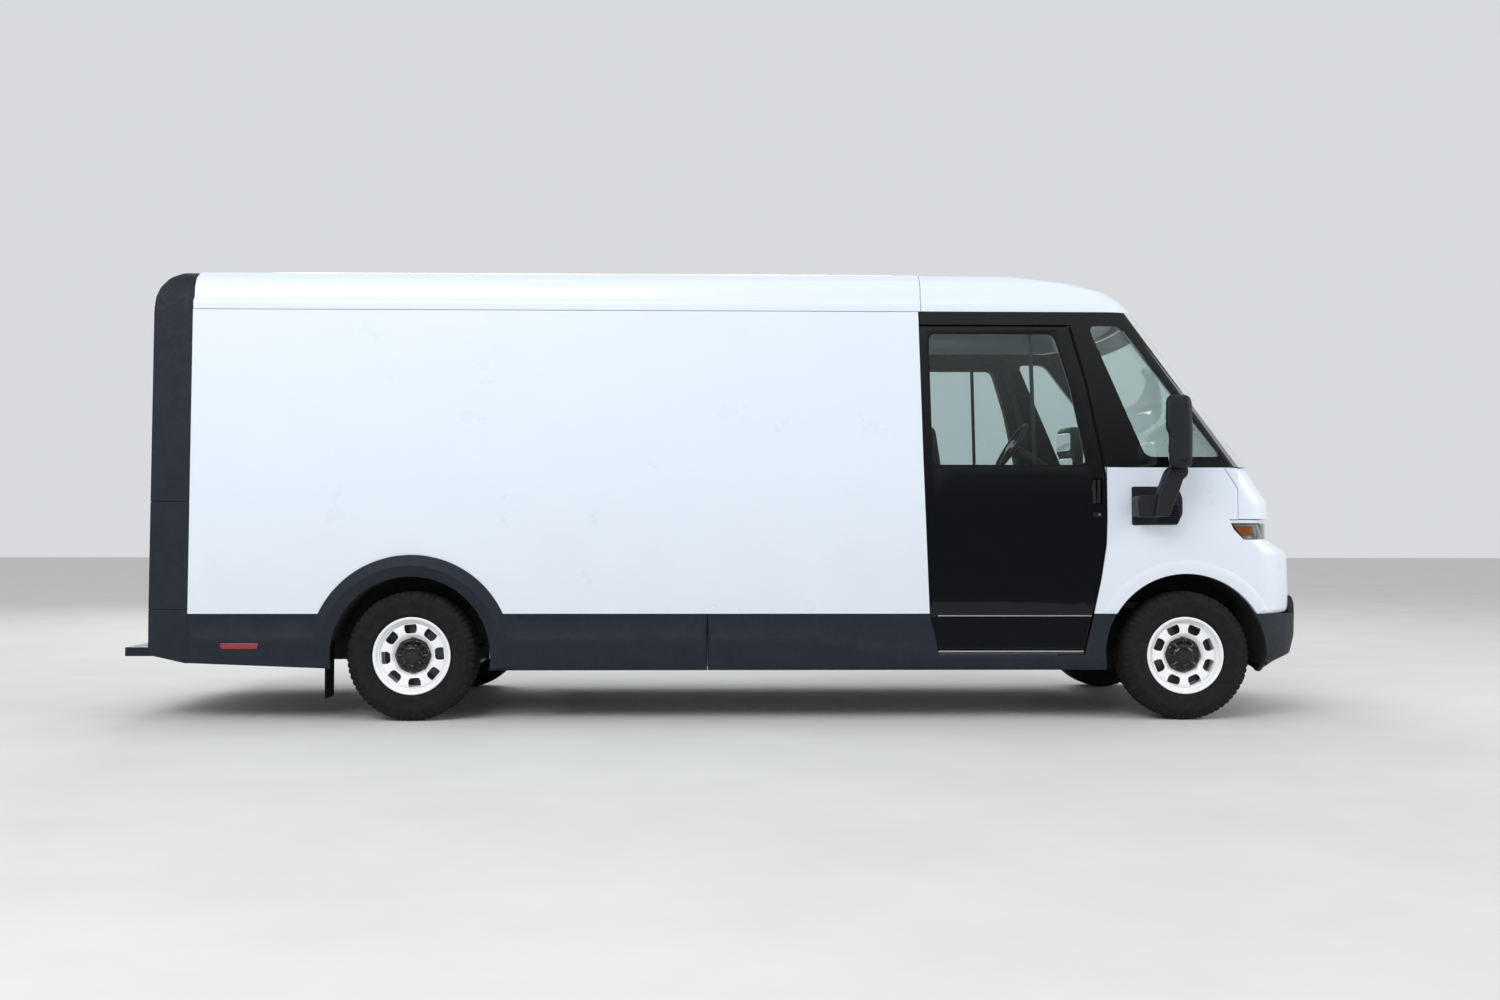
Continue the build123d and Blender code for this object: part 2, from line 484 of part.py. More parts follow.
# Skirts below the paint: a scooped upper band, a crease, then an upright lower band
SKIRT_INNER_Y = BODY_HALF_WIDTH - 13
SKIRT_CREASE_Y = BODY_HALF_WIDTH + 14
SKIRT_BOTTOM_Z = 306
REAR_CREASE_Z, FRONT_CREASE_Z = 500, 374
SEAM_X = REAR_AXLE_X + 1770
DIP_X = (FRONT_AXLE_X - 2255, FRONT_AXLE_X - 1744)


def skirt_wire(x, crease_z):
    """Section of the skirt, its upper band hollowed by an arc."""
    top, middle = BELT_Z, (BELT_Z + crease_z) / 2
    corners = [Vector(x, SKIRT_INNER_Y, top), Vector(x, BODY_HALF_WIDTH - 2, top),
               Vector(x, SKIRT_CREASE_Y, crease_z), Vector(x, SKIRT_CREASE_Y - 4, SKIRT_BOTTOM_Z),
               Vector(x, SKIRT_INNER_Y, SKIRT_BOTTOM_Z)]
    hollow = Edge.make_three_point_arc(corners[1], Vector(x, BODY_HALF_WIDTH, middle), corners[2])
    lines = [Edge.make_line(corners[k], corners[(k + 1) % 5]) for k in (0, 2, 3, 4)]
    return Wire([lines[0], hollow, *lines[1:]])


def skirt(stations):
    """Skirt run through a list of (x, crease height)."""
    return Solid.make_loft([skirt_wire(x, crease) for x, crease in stations], ruled=True)


FLARE_SECTION = [(REAR_ARCH_RADIUS, FLARE_BACK_Y), (REAR_ARCH_RADIUS, BODY_HALF_WIDTH + 10),
                 (541, BODY_HALF_WIDTH + 22), (FLARE_RADIUS, BODY_HALF_WIDTH + 2),
                 (FLARE_RADIUS, FLARE_BACK_Y)]
flare_face = Face(Wire.make_polygon([(REAR_AXLE_X + r, y, AXLE_Z) for r, y in FLARE_SECTION]))
flare = revolve(flare_face, Axis((REAR_AXLE_X, 0, AXLE_Z), (0, 1, 0)), 360)
flare &= side_plate(rear([(-560, BELT_Z - 30), (-560, 1100), (560, 1100), (560, BELT_Z - 30), (520, 330),
                          (-520, 330)]), WITHIN_Y, BEYOND_Y)
rear_skirt = skirt([(PAINT_REAR_X, REAR_CREASE_Z), (SEAM_X, REAR_CREASE_Z)])
rear_skirt -= wheel_cylinder(REAR_AXLE_X, REAR_ARCH_RADIUS, WITHIN_Y, BEYOND_Y)
rear_skirt += flare
rear_skirt -= side_plate(rear([(-1400, 200), (-1400, 356), (-400, 318), (-400, 200)]), WITHIN_Y, BEYOND_Y)
rear_skirt -= side_plate(MARKER_OUTLINE, MARKER_BACK_Y, BEYOND_Y)
save("rear_skirts", both(rear_skirt))

front_skirt = skirt([(SEAM_X, REAR_CREASE_Z), (DIP_X[0], REAR_CREASE_Z - 12),
                     (DIP_X[1], FRONT_CREASE_Z), (FRONT_AXLE_X - 380, FRONT_CREASE_Z)])
front_skirt -= wheel_cylinder(FRONT_AXLE_X, FRONT_ARCH_RADIUS, WITHIN_Y, BEYOND_Y)
front_skirt -= side_plate(front([(-1557, BELT_Z + 10), (-1519, 488), (-1504, 398), (-624, 398), (-600, 488),
                                 (-561, BELT_Z + 10)]), WITHIN_Y, BEYOND_Y)
save("front_skirts", both(front_skirt))

flap_outer_y = SKIRT_INNER_Y - 27
flap = block(REAR_AXLE_X - 520, REAR_AXLE_X - 512, flap_outer_y - 210, flap_outer_y - 5, 130, 480)
flap += block(REAR_AXLE_X - 540, REAR_AXLE_X - 512, flap_outer_y - 20, flap_outer_y, 340, 400)
save("mud_flaps", both(flap))

# Cab: painted fenders, nose, hood, lamps and bumper
DOOR_FRONT_EDGE = [(-699, DOOR_TOP_Z), (-599, 2041), (-508, 1606), (-484, 1456), (-481, 1214), (-487, 1064),
                   (-520, 860), (-569, BELT_Z), (-621, DOOR_BOTTOM_Z)]
LAMP_SIDE = [(349, LAMP_BOTTOM_Z), (294, 1150), (264, LAMP_TOP_Z)]
fender_outline = front([(-475, COWL_Z), (-475, 1214), (-481, 1060), (-514, 857), (-562, BELT_Z),
                        (FENDER_FRONT_X, BELT_Z), (FENDER_FRONT_X, LAMP_BOTTOM_Z), *LAMP_SIDE,
                        (HOOD_REAR_X, LAMP_TOP_Z), (HOOD_REAR_X, COWL_Z)])
fender = leaning_slab(FRONT_AXLE_X - 600, FRONT_AXLE_X + 400, BELT_Z, COWL_Z, 0, CAB_WALL)
fender &= side_plate(fender_outline, WITHIN_Y, BEYOND_Y)
fender &= cab_volume(NOSE_LEVELS + HOOD_LEVELS)
fender -= wheel_cylinder(FRONT_AXLE_X, FRONT_ARCH_RADIUS, WITHIN_Y, BEYOND_Y)
FLAP_CENTRE = (FRONT_AXLE_X + 60, 1060)
FLAP_HALF = 95
FLAP_THICKNESS = 14
flap_room = block(FLAP_CENTRE[0] - FLAP_HALF - PANEL_GAP, FLAP_CENTRE[0] + FLAP_HALF + PANEL_GAP,
                  WITHIN_Y, BEYOND_Y,
                  FLAP_CENTRE[1] - FLAP_HALF - PANEL_GAP, FLAP_CENTRE[1] + FLAP_HALF + PANEL_GAP)
save("fenders", [fender - flap_room, mirror(fender, about=Plane.XZ)])

nose = cab_shell(NOSE_LEVELS, 40, FENDER_FRONT_X)
for y in (-1, 1):
    span = (WITHIN_Y, BEYOND_Y) if y > 0 else (-BEYOND_Y, -WITHIN_Y)
    nose -= wheel_cylinder(FRONT_AXLE_X, FRONT_ARCH_RADIUS, *span)
save("nose_panel", nose)

LAMP_INNER_Y = 560
lamp_ring = cab_shell(LAMP_LEVELS, 60, 200)
lamp_cut = side_plate(front([(900, LAMP_BOTTOM_Z), *LAMP_SIDE, (900, LAMP_TOP_Z)]), -BEYOND_Y, BEYOND_Y)
lamp_ring &= lamp_cut
save("lamp_band", lamp_ring & block(0, FAR, -LAMP_INNER_Y, LAMP_INNER_Y, 0, FAR))
save("headlamps", both(half_only(lamp_ring, LAMP_INNER_Y)))

save("hood", cab_shell(HOOD_LEVELS, 40, HOOD_REAR_X))

BUMPER_REAR_X = 380
bumper = cab_shell(BUMPER_LEVELS, 45, BUMPER_REAR_X)
lip_levels = [(BELT_Z, FRONT_OVERHANG, 300, 3000), (BUMPER_LIP_Z, FRONT_OVERHANG - 12, 300, 3000)]
nose_start = [(BELT_Z - 1, 822, 300, 3000), (BUMPER_LIP_Z + 1, 830, 300, 3000)]
lip = cab_volume(lip_levels, back=0) - cab_volume(nose_start, back=-10)
lip &= block(FRONT_AXLE_X + 500, FAR, 220 - BODY_HALF_WIDTH, BODY_HALF_WIDTH - 220, BELT_Z,
             BUMPER_LIP_Z)
bumper += lip
for y in (-1, 1):
    span = (WITHIN_Y - 100, BEYOND_Y) if y > 0 else (-BEYOND_Y, 100 - WITHIN_Y)
    bumper -= wheel_cylinder(FRONT_AXLE_X, FRONT_ARCH_RADIUS - 30, *span)
    inner = (596, LINER_OUTER_Y + 1) if y > 0 else (-LINER_OUTER_Y - 1, -596)
    bumper -= wheel_cylinder(FRONT_AXLE_X, FRONT_ARCH_RADIUS + 3 + LINER_SKIN, *inner)
bumper -= block(FRONT_AXLE_X + 600, FAR, -340, 340, 400, 520)
for y in (-RAIL_Y, RAIL_Y):
    bumper += block(rail_ends[1], FRONT_AXLE_X + 790, y - 30, y + 30, 540, 600)
save("front_bumper", bumper)

# Greenhouse: windshield between the pillars, quarter windows behind them
outer = cab_volume(GLASS_LEVELS, back=-1612)
deep = [(GLASS_LEVELS[0][0] - 1, *GLASS_LEVELS[0][1:]), (GLASS_LEVELS[1][0] + 1, *GLASS_LEVELS[1][1:])]
glass_skin = outer - cab_volume(deep, GLASS, back=-1630)
save("windshield", glass_skin & block(0, FAR, -WINDSHIELD_HALF, WINDSHIELD_HALF, 0, FAR))
pillar_outline = front([(-1612, ROOF_SEAM_Z), (-1612, DOOR_TOP_Z + PANEL_GAP), (-692, DOOR_TOP_Z + PANEL_GAP),
                        (-592, 2041), (-502, 1606), (-484, COWL_Z), (620, COWL_Z),
                        (620, ROOF_SEAM_Z)])
QUARTER_WINDOW = front([(-586, 2385), (-391, 2385), (224, 1590), (-241, 1590)])
pillars = outer - cab_volume(deep, CAB_WALL, back=-1630)
pillar = half_only(pillars & side_plate(pillar_outline, -BEYOND_Y, BEYOND_Y), WINDSHIELD_HALF)
window_hole = side_plate(QUARTER_WINDOW, WITHIN_Y, BEYOND_Y, corner=30)
save("cab_pillars", both(pillar - window_hole))
side_glass = leaning_slab(FRONT_AXLE_X - 700, FRONT_AXLE_X + 400, COWL_Z, ROOF_SEAM_Z, 0, GLASS)
save("quarter_windows", both(side_glass & window_hole))

# Cab roof: plan outlines from the seam up, its edge cove fading out forwards
CAB_ROOF = [  # height, nose from the front axle, half width at the nose, half width at the back
    (ROOF_SEAM_Z, -156, side_y(ROOF_SEAM_Z), side_y(ROOF_SEAM_Z)),
    (roof_z(55), -200, BODY_HALF_WIDTH - 47, side_y(roof_z(55))),
    (roof_z(77), -220, BODY_HALF_WIDTH - 52, BODY_HALF_WIDTH - 68),
    (roof_z(142), -318, BODY_HALF_WIDTH - 78, BODY_HALF_WIDTH - 72),
    (roof_z(193), -500, BODY_HALF_WIDTH - 115, BODY_HALF_WIDTH - 98),
    (roof_z(238), -800, BODY_HALF_WIDTH - 170, BODY_HALF_WIDTH - 164),
    (roof_z(275), -1250, BODY_HALF_WIDTH - 400, BODY_HALF_WIDTH - 460),
]
CAB_ROOF_REAR_X = -1602


def roof_wires(inset, drop, back):
    """Plan outlines of the cab roof, or of the hollow under it."""
    wires = []
    for z, nose, half_front, half_back in CAB_ROOF:
        fall = drop if wires else min(drop, 1)
        wires.append(plan_wire(z - fall, FRONT_AXLE_X + nose - inset, half_front - inset, 200 - inset,
                               3470 - inset, FRONT_AXLE_X + back, half_back - inset))
    return wires


cab_roof = Solid.make_loft(roof_wires(0, 0, CAB_ROOF_REAR_X), ruled=True)
cab_roof -= Solid.make_loft(roof_wires(60, 40, CAB_ROOF_REAR_X - 10), ruled=True)
save("cab_roof", cab_roof)

# Bulkhead with an offset doorway and its sliding door
DOORWAY_Y = (-450, 250)
DOORWAY_TOP_Z = 2500
BULKHEAD_DOOR_OVERLAP = 25
BULKHEAD_DOOR_THICKNESS = 30
BULKHEAD_DOOR_TRAVEL = 660
bulkhead_edge = [(deck_y - 2, FLOOR_Z), (side_y(ROOF_SEAM_Z) - WALL - 2, ROOF_SEAM_Z),
                 *roof_points([(150, 129), (228, 193)])]
bulkhead = cross_section(roof_outline(bulkhead_edge, roof_z(228)), BULKHEAD_X,
                         BULKHEAD_X + BULKHEAD_THICKNESS)
bulkhead -= block(BULKHEAD_X - 10, BULKHEAD_X + 60, *DOORWAY_Y, FLOOR_Z - 10, DOORWAY_TOP_Z)
door_back_x = BULKHEAD_X - PANEL_GAP - BULKHEAD_DOOR_THICKNESS
door_y = (DOORWAY_Y[0] - BULKHEAD_DOOR_OVERLAP, DOORWAY_Y[1] + BULKHEAD_DOOR_OVERLAP)
door_top = DOORWAY_TOP_Z + BULKHEAD_DOOR_OVERLAP
bulkhead += block(door_back_x, BULKHEAD_X, door_y[0], door_y[1] + BULKHEAD_DOOR_TRAVEL, door_top + SEAT,
                  door_top + 25)
save("bulkhead", bulkhead)
bulkhead_door = block(door_back_x, BULKHEAD_X - PANEL_GAP, *door_y, FLOOR_Z + PANEL_GAP, door_top)
bulkhead_door -= block(BULKHEAD_X - 50, BULKHEAD_X, -330, 130, 1650, 2250)
save("bulkhead_door", bulkhead_door)

# Side doors in their pockets, with the windows
WINDOW_OUTLINE = front([(-1558, 2342), (-788, 2342), (-691, 2028), (-587, 1535), (-1537, 1535)])
door_outline = front([(DOOR_REAR_X, DOOR_TOP_Z), *DOOR_FRONT_EDGE, (DOOR_REAR_X, DOOR_BOTTOM_Z)])
door_slab = leaning_slab(FRONT_AXLE_X + DOOR_REAR_X, FRONT_AXLE_X - 400, DOOR_BOTTOM_Z, DOOR_TOP_Z,
                         DOOR_SKIN + PANEL_GAP, DOOR_THICKNESS)
door = door_slab & side_plate(door_outline, WITHIN_Y, BEYOND_Y)
door_hole = side_plate(WINDOW_OUTLINE, WITHIN_Y, BEYOND_Y, corner=45)
door_glass = leaning_slab(FRONT_AXLE_X + DOOR_REAR_X, FRONT_AXLE_X - 400, DOOR_BOTTOM_Z, DOOR_TOP_Z,
                          DOOR_SKIN + PANEL_GAP + 6, 6) & door_hole
door -= door_hole
shoe_y = side_y(DOOR_BOTTOM_Z) - DOOR_SKIN - PANEL_GAP - DOOR_THICKNESS / 2
door += block(FRONT_AXLE_X - 1480, FRONT_AXLE_X - 760, shoe_y - 6, shoe_y + 6, SILL_Z + SEAT,
              DOOR_BOTTOM_Z + 1)
for name, panel, glass in zip(("left", "right"), both(door), both(door_glass)):
    save(f"door_{name}", panel)
    save(f"door_window_{name}", glass)

# Dashboard with the steering column, and the steering wheel square to it
COLUMN_TILT = 33          # degrees that the column dips towards the front
WHEEL_CENTRE = (FRONT_AXLE_X - 754, 440, 1738)
STEERING_WHEEL_RADIUS = 200
dash_outline = front([(-161, 1000), (-330, 1040), (-430, 1240), (-400, 1420), (-300, 1510), (-50, 1550),
                      (330, 1515), (330, 1480), (-120, 1472), (-161, 1472)])
dash_half = BODY_HALF_WIDTH - 90
dash = side_plate(dash_outline, -dash_half, dash_half)
dash_plan = [plan_wire(z, FRONT_AXLE_X + 420, dash_half + 2, 120, 3000, FRONT_AXLE_X - 900)
             for z in (900, 1600)]
dash &= Solid.make_loft(dash_plan, ruled=True)
dash -= half_only(wheel_cylinder(FRONT_AXLE_X, FRONT_ARCH_RADIUS + 2 + LINER_SKIN, 596, BEYOND_Y))
column_place = Location(WHEEL_CENTRE, (0, 90 + COLUMN_TILT, 0))
column = column_place * Pos(0, 0, 30.3) * Cylinder(34, 500, align=STANDING)
save("dashboard", dash + column)
rim_ring = Torus(STEERING_WHEEL_RADIUS - 16, 16)
steering = rim_ring + Pos(0, 0, -5) * Cylinder(62, 30) + Pos(0, 0, 10) * Cylinder(34, 40)
for angle in (0, 180, 270):
    spoke = Box(34, STEERING_WHEEL_RADIUS - 20, 16)
    steering += Rot(0, 0, angle) * Pos(0, STEERING_WHEEL_RADIUS / 2, 0) * spoke
save("steering_wheel", column_place * steering)

# Driver's seat on its pedestal
seat_x, seat_y = FRONT_AXLE_X - 1090, 440
seat = block(seat_x - 170, seat_x + 150, seat_y - 190, seat_y + 190, FLOOR_Z, 1130)
seat += block(seat_x - 240, seat_x + 240, seat_y - 250, seat_y + 250, 1130, 1270)
back_outline = [(seat_x - 240, 1200), (seat_x - 110, 1200), (seat_x - 230, 1900), (seat_x - 330, 1900)]
seat += side_plate(back_outline, seat_y - 240, seat_y + 240)
head_outline = [(seat_x - 335, 1890), (seat_x - 225, 1890), (seat_x - 245, 2090), (seat_x - 335, 2090)]
seat += side_plate(head_outline, seat_y - 140, seat_y + 140)
save("driver_seat", seat)

# Mirrors: a plate on the fender, a raised arm and the head
plate_outline = front([(-349, 1411), (-349, 1179), (-72, 1181), (-41, 1259), (-41, 1338), (-65, 1398)])
plate = leaning_slab(FRONT_AXLE_X - 400, FRONT_AXLE_X, 1150, 1450, -24, 24)
plate &= side_plate(plate_outline, WITHIN_Y, BEYOND_Y)
arm = side_plate(front([(-364, 1335), (-358, 1240), (-200, 1240), (-200, 1335)]), BODY_HALF_WIDTH + 9,
                 BODY_HALF_WIDTH + 170)
arm += side_plate(front([(-290, 1335), (-262, 1240), (-160, 1245), (-70, 1442), (-40, 1514), (-160, 1514),
                         (-226, 1411)]), BODY_HALF_WIDTH + 95, BODY_HALF_WIDTH + 190)
save("mirror_arms", both(plate + arm))
head = side_plate(front([(-220, 1514), (-51, 1514), (-51, 1925), (-220, 1939)]), BODY_HALF_WIDTH + 75,
                  BODY_HALF_WIDTH + 305)
head = fillet(head.edges(), 28)
save("mirror_heads", both(head))

# Charge inlet behind a hinged flap in the left fender
flap_y = side_y(FLAP_CENTRE[1])
INLET_FACE_Y = flap_y - 40
INLET_BORE_RADIUS, INLET_BORE_DEPTH = 36, 40
inlet = block(FLAP_CENTRE[0] - 70, FLAP_CENTRE[0] + 70, INLET_FACE_Y - 100, INLET_FACE_Y, FLAP_CENTRE[1] - 70,
              FLAP_CENTRE[1] + 70)
inlet += leaning_slab(FLAP_CENTRE[0] - 125, FLAP_CENTRE[0] + 125, FLAP_CENTRE[1] - 115, FLAP_CENTRE[1] + 115,
                      CAB_WALL, 8)
inlet += leaning_slab(FLAP_CENTRE[0] + 60, FLAP_CENTRE[0] + 88, FLAP_CENTRE[1] - 50, FLAP_CENTRE[1] + 50,
                      FLAP_THICKNESS + SEAT, CAB_WALL - FLAP_THICKNESS)
inlet -= wheel_cylinder(FLAP_CENTRE[0], INLET_BORE_RADIUS, INLET_FACE_Y - INLET_BORE_DEPTH, INLET_FACE_Y + 1,
                        FLAP_CENTRE[1])
save("charge_inlet", inlet)
flap = leaning_slab(FLAP_CENTRE[0] - FLAP_HALF, FLAP_CENTRE[0] + FLAP_HALF, FLAP_CENTRE[1] - FLAP_HALF,
                    FLAP_CENTRE[1] + FLAP_HALF, 0, FLAP_THICKNESS)
save("charge_flap", flap)
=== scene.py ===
# %% [markdown]
# An electric delivery van, dressed in Blender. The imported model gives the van's panels and running gear at
# their real place and size, in metres: +X runs forward, +Y to the van's left, +Z up. This script gives each
# surface its finish, and rebuilds the pieces whose look needs finer forms than the solids hold: pressed
# panels with rolled edges, moulded cladding, tyres with tread, wheels, lamps and mirrors.

# %% Load the frame
from math import atan2, ceil, cos, hypot, pi, radians, sin, sqrt, tan

import bmesh
import bpy
from mathutils import Matrix, Vector
from mathutils.geometry import delaunay_2d_cdt


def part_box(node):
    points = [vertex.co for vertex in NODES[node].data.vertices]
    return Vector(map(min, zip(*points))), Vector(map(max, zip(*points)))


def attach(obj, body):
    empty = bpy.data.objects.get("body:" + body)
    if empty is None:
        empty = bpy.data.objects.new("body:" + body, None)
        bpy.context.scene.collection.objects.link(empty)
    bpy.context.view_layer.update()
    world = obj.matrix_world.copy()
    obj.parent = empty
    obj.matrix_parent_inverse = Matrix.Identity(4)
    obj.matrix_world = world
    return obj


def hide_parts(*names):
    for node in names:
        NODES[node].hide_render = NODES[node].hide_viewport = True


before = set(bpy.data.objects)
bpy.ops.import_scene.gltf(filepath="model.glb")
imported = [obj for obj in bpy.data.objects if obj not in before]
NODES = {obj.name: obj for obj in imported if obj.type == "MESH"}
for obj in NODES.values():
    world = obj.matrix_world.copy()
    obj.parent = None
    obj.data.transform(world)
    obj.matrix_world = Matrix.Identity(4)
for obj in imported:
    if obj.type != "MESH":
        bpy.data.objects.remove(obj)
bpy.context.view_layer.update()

# %% [markdown]
# A few sizes place everything else: the two axles, the height where the dark cladding meets the paint, the
# roof's seam, and how far the sides lean in above the cladding. They are written in metres and match the
# frame, whose wheels give the axles.

# %% Driving sizes
REAR_X = sum(corner[0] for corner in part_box("tyre_rear_left")) / 2
FRONT_X = sum(corner[0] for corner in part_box("tyre_front_left")) / 2
HALF_WIDTH = 1.100
BELT_Z = 0.643
SEAM_Z = 2.467
LEAN = tan(radians(1.36))
AXLE_Z = 0.388
WHEEL_Y = 0.960


def side_y(z):
    """Half width of the painted body at height z."""
    return HALF_WIDTH - max(0.0, z - BELT_Z) * LEAN


print("axles", round(REAR_X, 4), round(FRONT_X, 4))

# %% [markdown]
# Colours are picked as sRGB hex values, the way a paint chart or a picture gives them, and Blender's
# shaders work in linear light. One function does the change, and every colour goes through it. One more
# small function adds a node, sets its values and joins its inputs, so that a material reads as a list of
# what it has.

# %% Colour and node helpers


def srgb(code, alpha=1.0):
    """Hex colour as linear RGBA."""
    channels = [int(code[i:i + 2], 16) / 255 for i in (0, 2, 4)]
    return (*[c / 12.92 if c <= 0.04045 else ((c + 0.055) / 1.055) ** 2.4 for c in channels], alpha)


def add(tree, kind, settings=None, **inputs):
    """Add one node; an input given as an output socket is linked, anything else is set."""
    node = tree.nodes.new("ShaderNode" + kind)
    for name, value in (settings or {}).items():
        setattr(node, name, value)
    for name, value in inputs.items():
        socket = node.inputs[int(name[1:])] if name[0] == "_" else node.inputs[name.replace("_", " ")]
        if isinstance(value, bpy.types.NodeSocket):
            tree.links.new(value, socket)
        else:
            socket.default_value = value
    return node


def start_material(name, color, metallic=0.0, roughness=0.5, **sockets):
    """Principled material; returns it with its tree, shader and object-space coordinates in metres."""
    material = bpy.data.materials.new(name)
    material.use_nodes = True
    tree = material.node_tree
    shader = tree.nodes["Principled BSDF"]
    for key, value in {"Base Color": srgb(color), "Metallic": metallic, "Roughness": roughness}.items():
        shader.inputs[key].default_value = value
    for key, value in sockets.items():
        shader.inputs[key.replace("_", " ")].default_value = value
    material.diffuse_color = srgb(color)
    return material, tree, shader, add(tree, "TexCoord").outputs["Object"]


def noise(tree, place, size_mm, detail=2.0, roughness=0.5):
    """Noise whose blobs are about size_mm across."""
    return add(tree, "TexNoise", Vector=place, Scale=1000.0 / size_mm, Detail=detail,
               Roughness=roughness).outputs["Fac"]


def vary(tree, shader, socket, factor, low, high):
    """Drive a socket between two numbers, or two hex colours, by a 0 to 1 factor."""
    if isinstance(low, str):
        ramp = add(tree, "ValToRGB", Fac=factor)
        ramp.color_ramp.elements[0].position = 0.3
        ramp.color_ramp.elements[1].position = 0.7
        ramp.color_ramp.elements[0].color = srgb(low)
        ramp.color_ramp.elements[1].color = srgb(high)
        tree.links.new(ramp.outputs["Color"], shader.inputs[socket])
    else:
        span = add(tree, "MapRange", Value=factor, From_Min=0.3, From_Max=0.7, To_Min=low, To_Max=high)
        tree.links.new(span.outputs["Result"], shader.inputs[socket])


def bump(tree, shader, height, depth_mm, strength=1.0, soften_mm=0.0):
    """Bump of a real depth, with edges softened where soften_mm says so."""
    node = add(tree, "Bump", Height=height, Distance=depth_mm / 1000, Strength=strength)
    if soften_mm:
        soft = add(tree, "Bevel", {"samples": 4}, Radius=soften_mm / 1000)
        tree.links.new(soft.outputs["Normal"], node.inputs["Normal"])
    tree.links.new(node.outputs["Normal"], shader.inputs["Normal"])


# %% [markdown]
# The body is cool white automotive enamel: colour coats under a clear coat, sprayed on steel and composite.
# A clear coat is smooth, yet close up it has orange peel, a ripple some 6 mm across, and road dust that
# gathers low on the sides and takes the gloss off a little. The dust is a slow noise, stronger near the
# sill, and the ripple is a faint bump.

# %% Enamel


def enamel(name, color, dusty):
    """Sprayed enamel under a clear coat; `dusty` is the colour where road film lies."""
    material, tree, shader, place = start_material(name, color, roughness=0.32, Coat_Weight=0.6,
                                                   Coat_Roughness=0.06)
    height = add(tree, "SeparateXYZ", Vector=place).outputs["Z"]
    low = add(tree, "MapRange", Value=height, From_Min=0.6, From_Max=1.5, To_Min=1.0, To_Max=0.0)
    blotch = add(tree, "Math", {"operation": "MULTIPLY"}, _0=low.outputs["Result"],
                 _1=noise(tree, place, 380, 5.0))
    film = add(tree, "Mix", {"data_type": "RGBA"}, Factor=blotch.outputs["Value"], _6=srgb(color),
               _7=srgb(dusty))
    tree.links.new(film.outputs[2], shader.inputs["Base Color"])
    vary(tree, shader, "Roughness", noise(tree, place, 250, 4.0), 0.27, 0.38)
    bump(tree, shader, noise(tree, place, 6), 0.02, soften_mm=3)
    return material


WHITE = enamel("cool_white_enamel", "DCE5F0", "D3D8DC")
SHUTTER = enamel("shutter_enamel", "CDD3DA", "BDBFBF")
CHASSIS = enamel("chassis_black_enamel", "1B1C1E", "3A3733")
print("enamel finishes ready")

# %% [markdown]
# The doors, window surrounds and lamp band are ABS with a gloss black finish, the wheels' caps too. Gloss
# black shows all in its reflections, so it gets a strong clear coat, a trace of orange peel and fine wiping
# marks in the roughness. The lower cladding and the bumper are polypropylene moulded with a leather-like
# grain of about 1.5 mm, drawn 4 mm wide here so that it shows, dulled in places by dust from the road.

# %% Plastics


def gloss_plastic(name, color):
    """Gloss moulded ABS."""
    material, tree, shader, place = start_material(name, color, roughness=0.3, Specular_IOR_Level=0.05,
                                                   Coat_Weight=0.8, Coat_Roughness=0.03)
    streaks = add(tree, "Mapping", Vector=place, Scale=(1.0, 1.0, 0.4))
    vary(tree, shader, "Roughness", noise(tree, streaks.outputs["Vector"], 14, 3.0), 0.27, 0.32)
    bump(tree, shader, noise(tree, place, 9), 0.012, soften_mm=2)
    return material


def grained_plastic(name, color, dusty, grain_mm=4.0, roughness=0.62, soften_mm=3.0, specular=0.4):
    """Moulded polypropylene with a leather-like grain and a little road dust."""
    material, tree, shader, place = start_material(name, color, roughness=roughness,
                                                   Specular_IOR_Level=specular)
    cells = add(tree, "TexVoronoi", {"feature": "SMOOTH_F1"}, Vector=place, Scale=1000 / grain_mm,
                Smoothness=0.6).outputs["Distance"]
    vary(tree, shader, "Base Color", noise(tree, place, 160, 6.0, 0.65), color, dusty)
    vary(tree, shader, "Roughness", noise(tree, place, 30, 3.0), roughness - 0.07, roughness + 0.08)
    bump(tree, shader, cells, 0.25, 0.5, soften_mm)
    return material


GLOSS_BLACK = gloss_plastic("gloss_black_abs", "07090D")
CAP_BLACK = gloss_plastic("wheel_cap_gloss", "0A0A0C")
KICK_BLACK = grained_plastic("kick_panel_black", "06080C", "0A0D12", 2.0, 0.35, specular=0.12)
CLADDING = grained_plastic("cladding_polypropylene", "161D26", "1D242C", specular=0.25)
BUMPER = grained_plastic("bumper_polypropylene", "20252C", "2A2F35", specular=0.3)
MIRROR_SHELL = grained_plastic("mirror_shell_plastic", "0F1319", "15181E", 3.0, 0.5, specular=0.3)
DECK = grained_plastic("deck_lining", "46484A", "57585A", 12.0, 0.7)
LINER = grained_plastic("arch_liner_felt", "141416", "242321", 5.0, 0.9)
INTERIOR = grained_plastic("dash_moulding", "26272A", "2D2F33", 3.0, 0.55)
LINING = grained_plastic("cargo_lining", "B4B8BC", "A4A8AC", 6.0, 0.6)
# The headliner board's pale finish also paints the sky's reflection on the windshield's corners, in the
# strips made further down.
HEADLINER = grained_plastic("headliner_board", "C9CCCE", "BDC0C2", 5.0, 0.85)
print("plastics ready")

# %% [markdown]
# Glass is soda-lime glass, float made: smooth, IOR 1.52, with the green of iron oxide that shows most in
# thick panes and tinted car glass. Each pane is a closed sheet, so light bends in and out again as in a
# real one. The lamps' lenses are clear polycarbonate, IOR 1.58, and the marker's lens is the same, dyed
# red.

# %% Glass and lenses


def clear(name, color, ior, roughness=0.0, transmission=1.0):
    """Transparent solid with a faint film of dust on it."""
    material, tree, shader, place = start_material(name, color, roughness=roughness, IOR=ior,
                                                   Transmission_Weight=transmission)
    vary(tree, shader, "Roughness", noise(tree, place, 90, 5.0), roughness, roughness + 0.015)
    return material


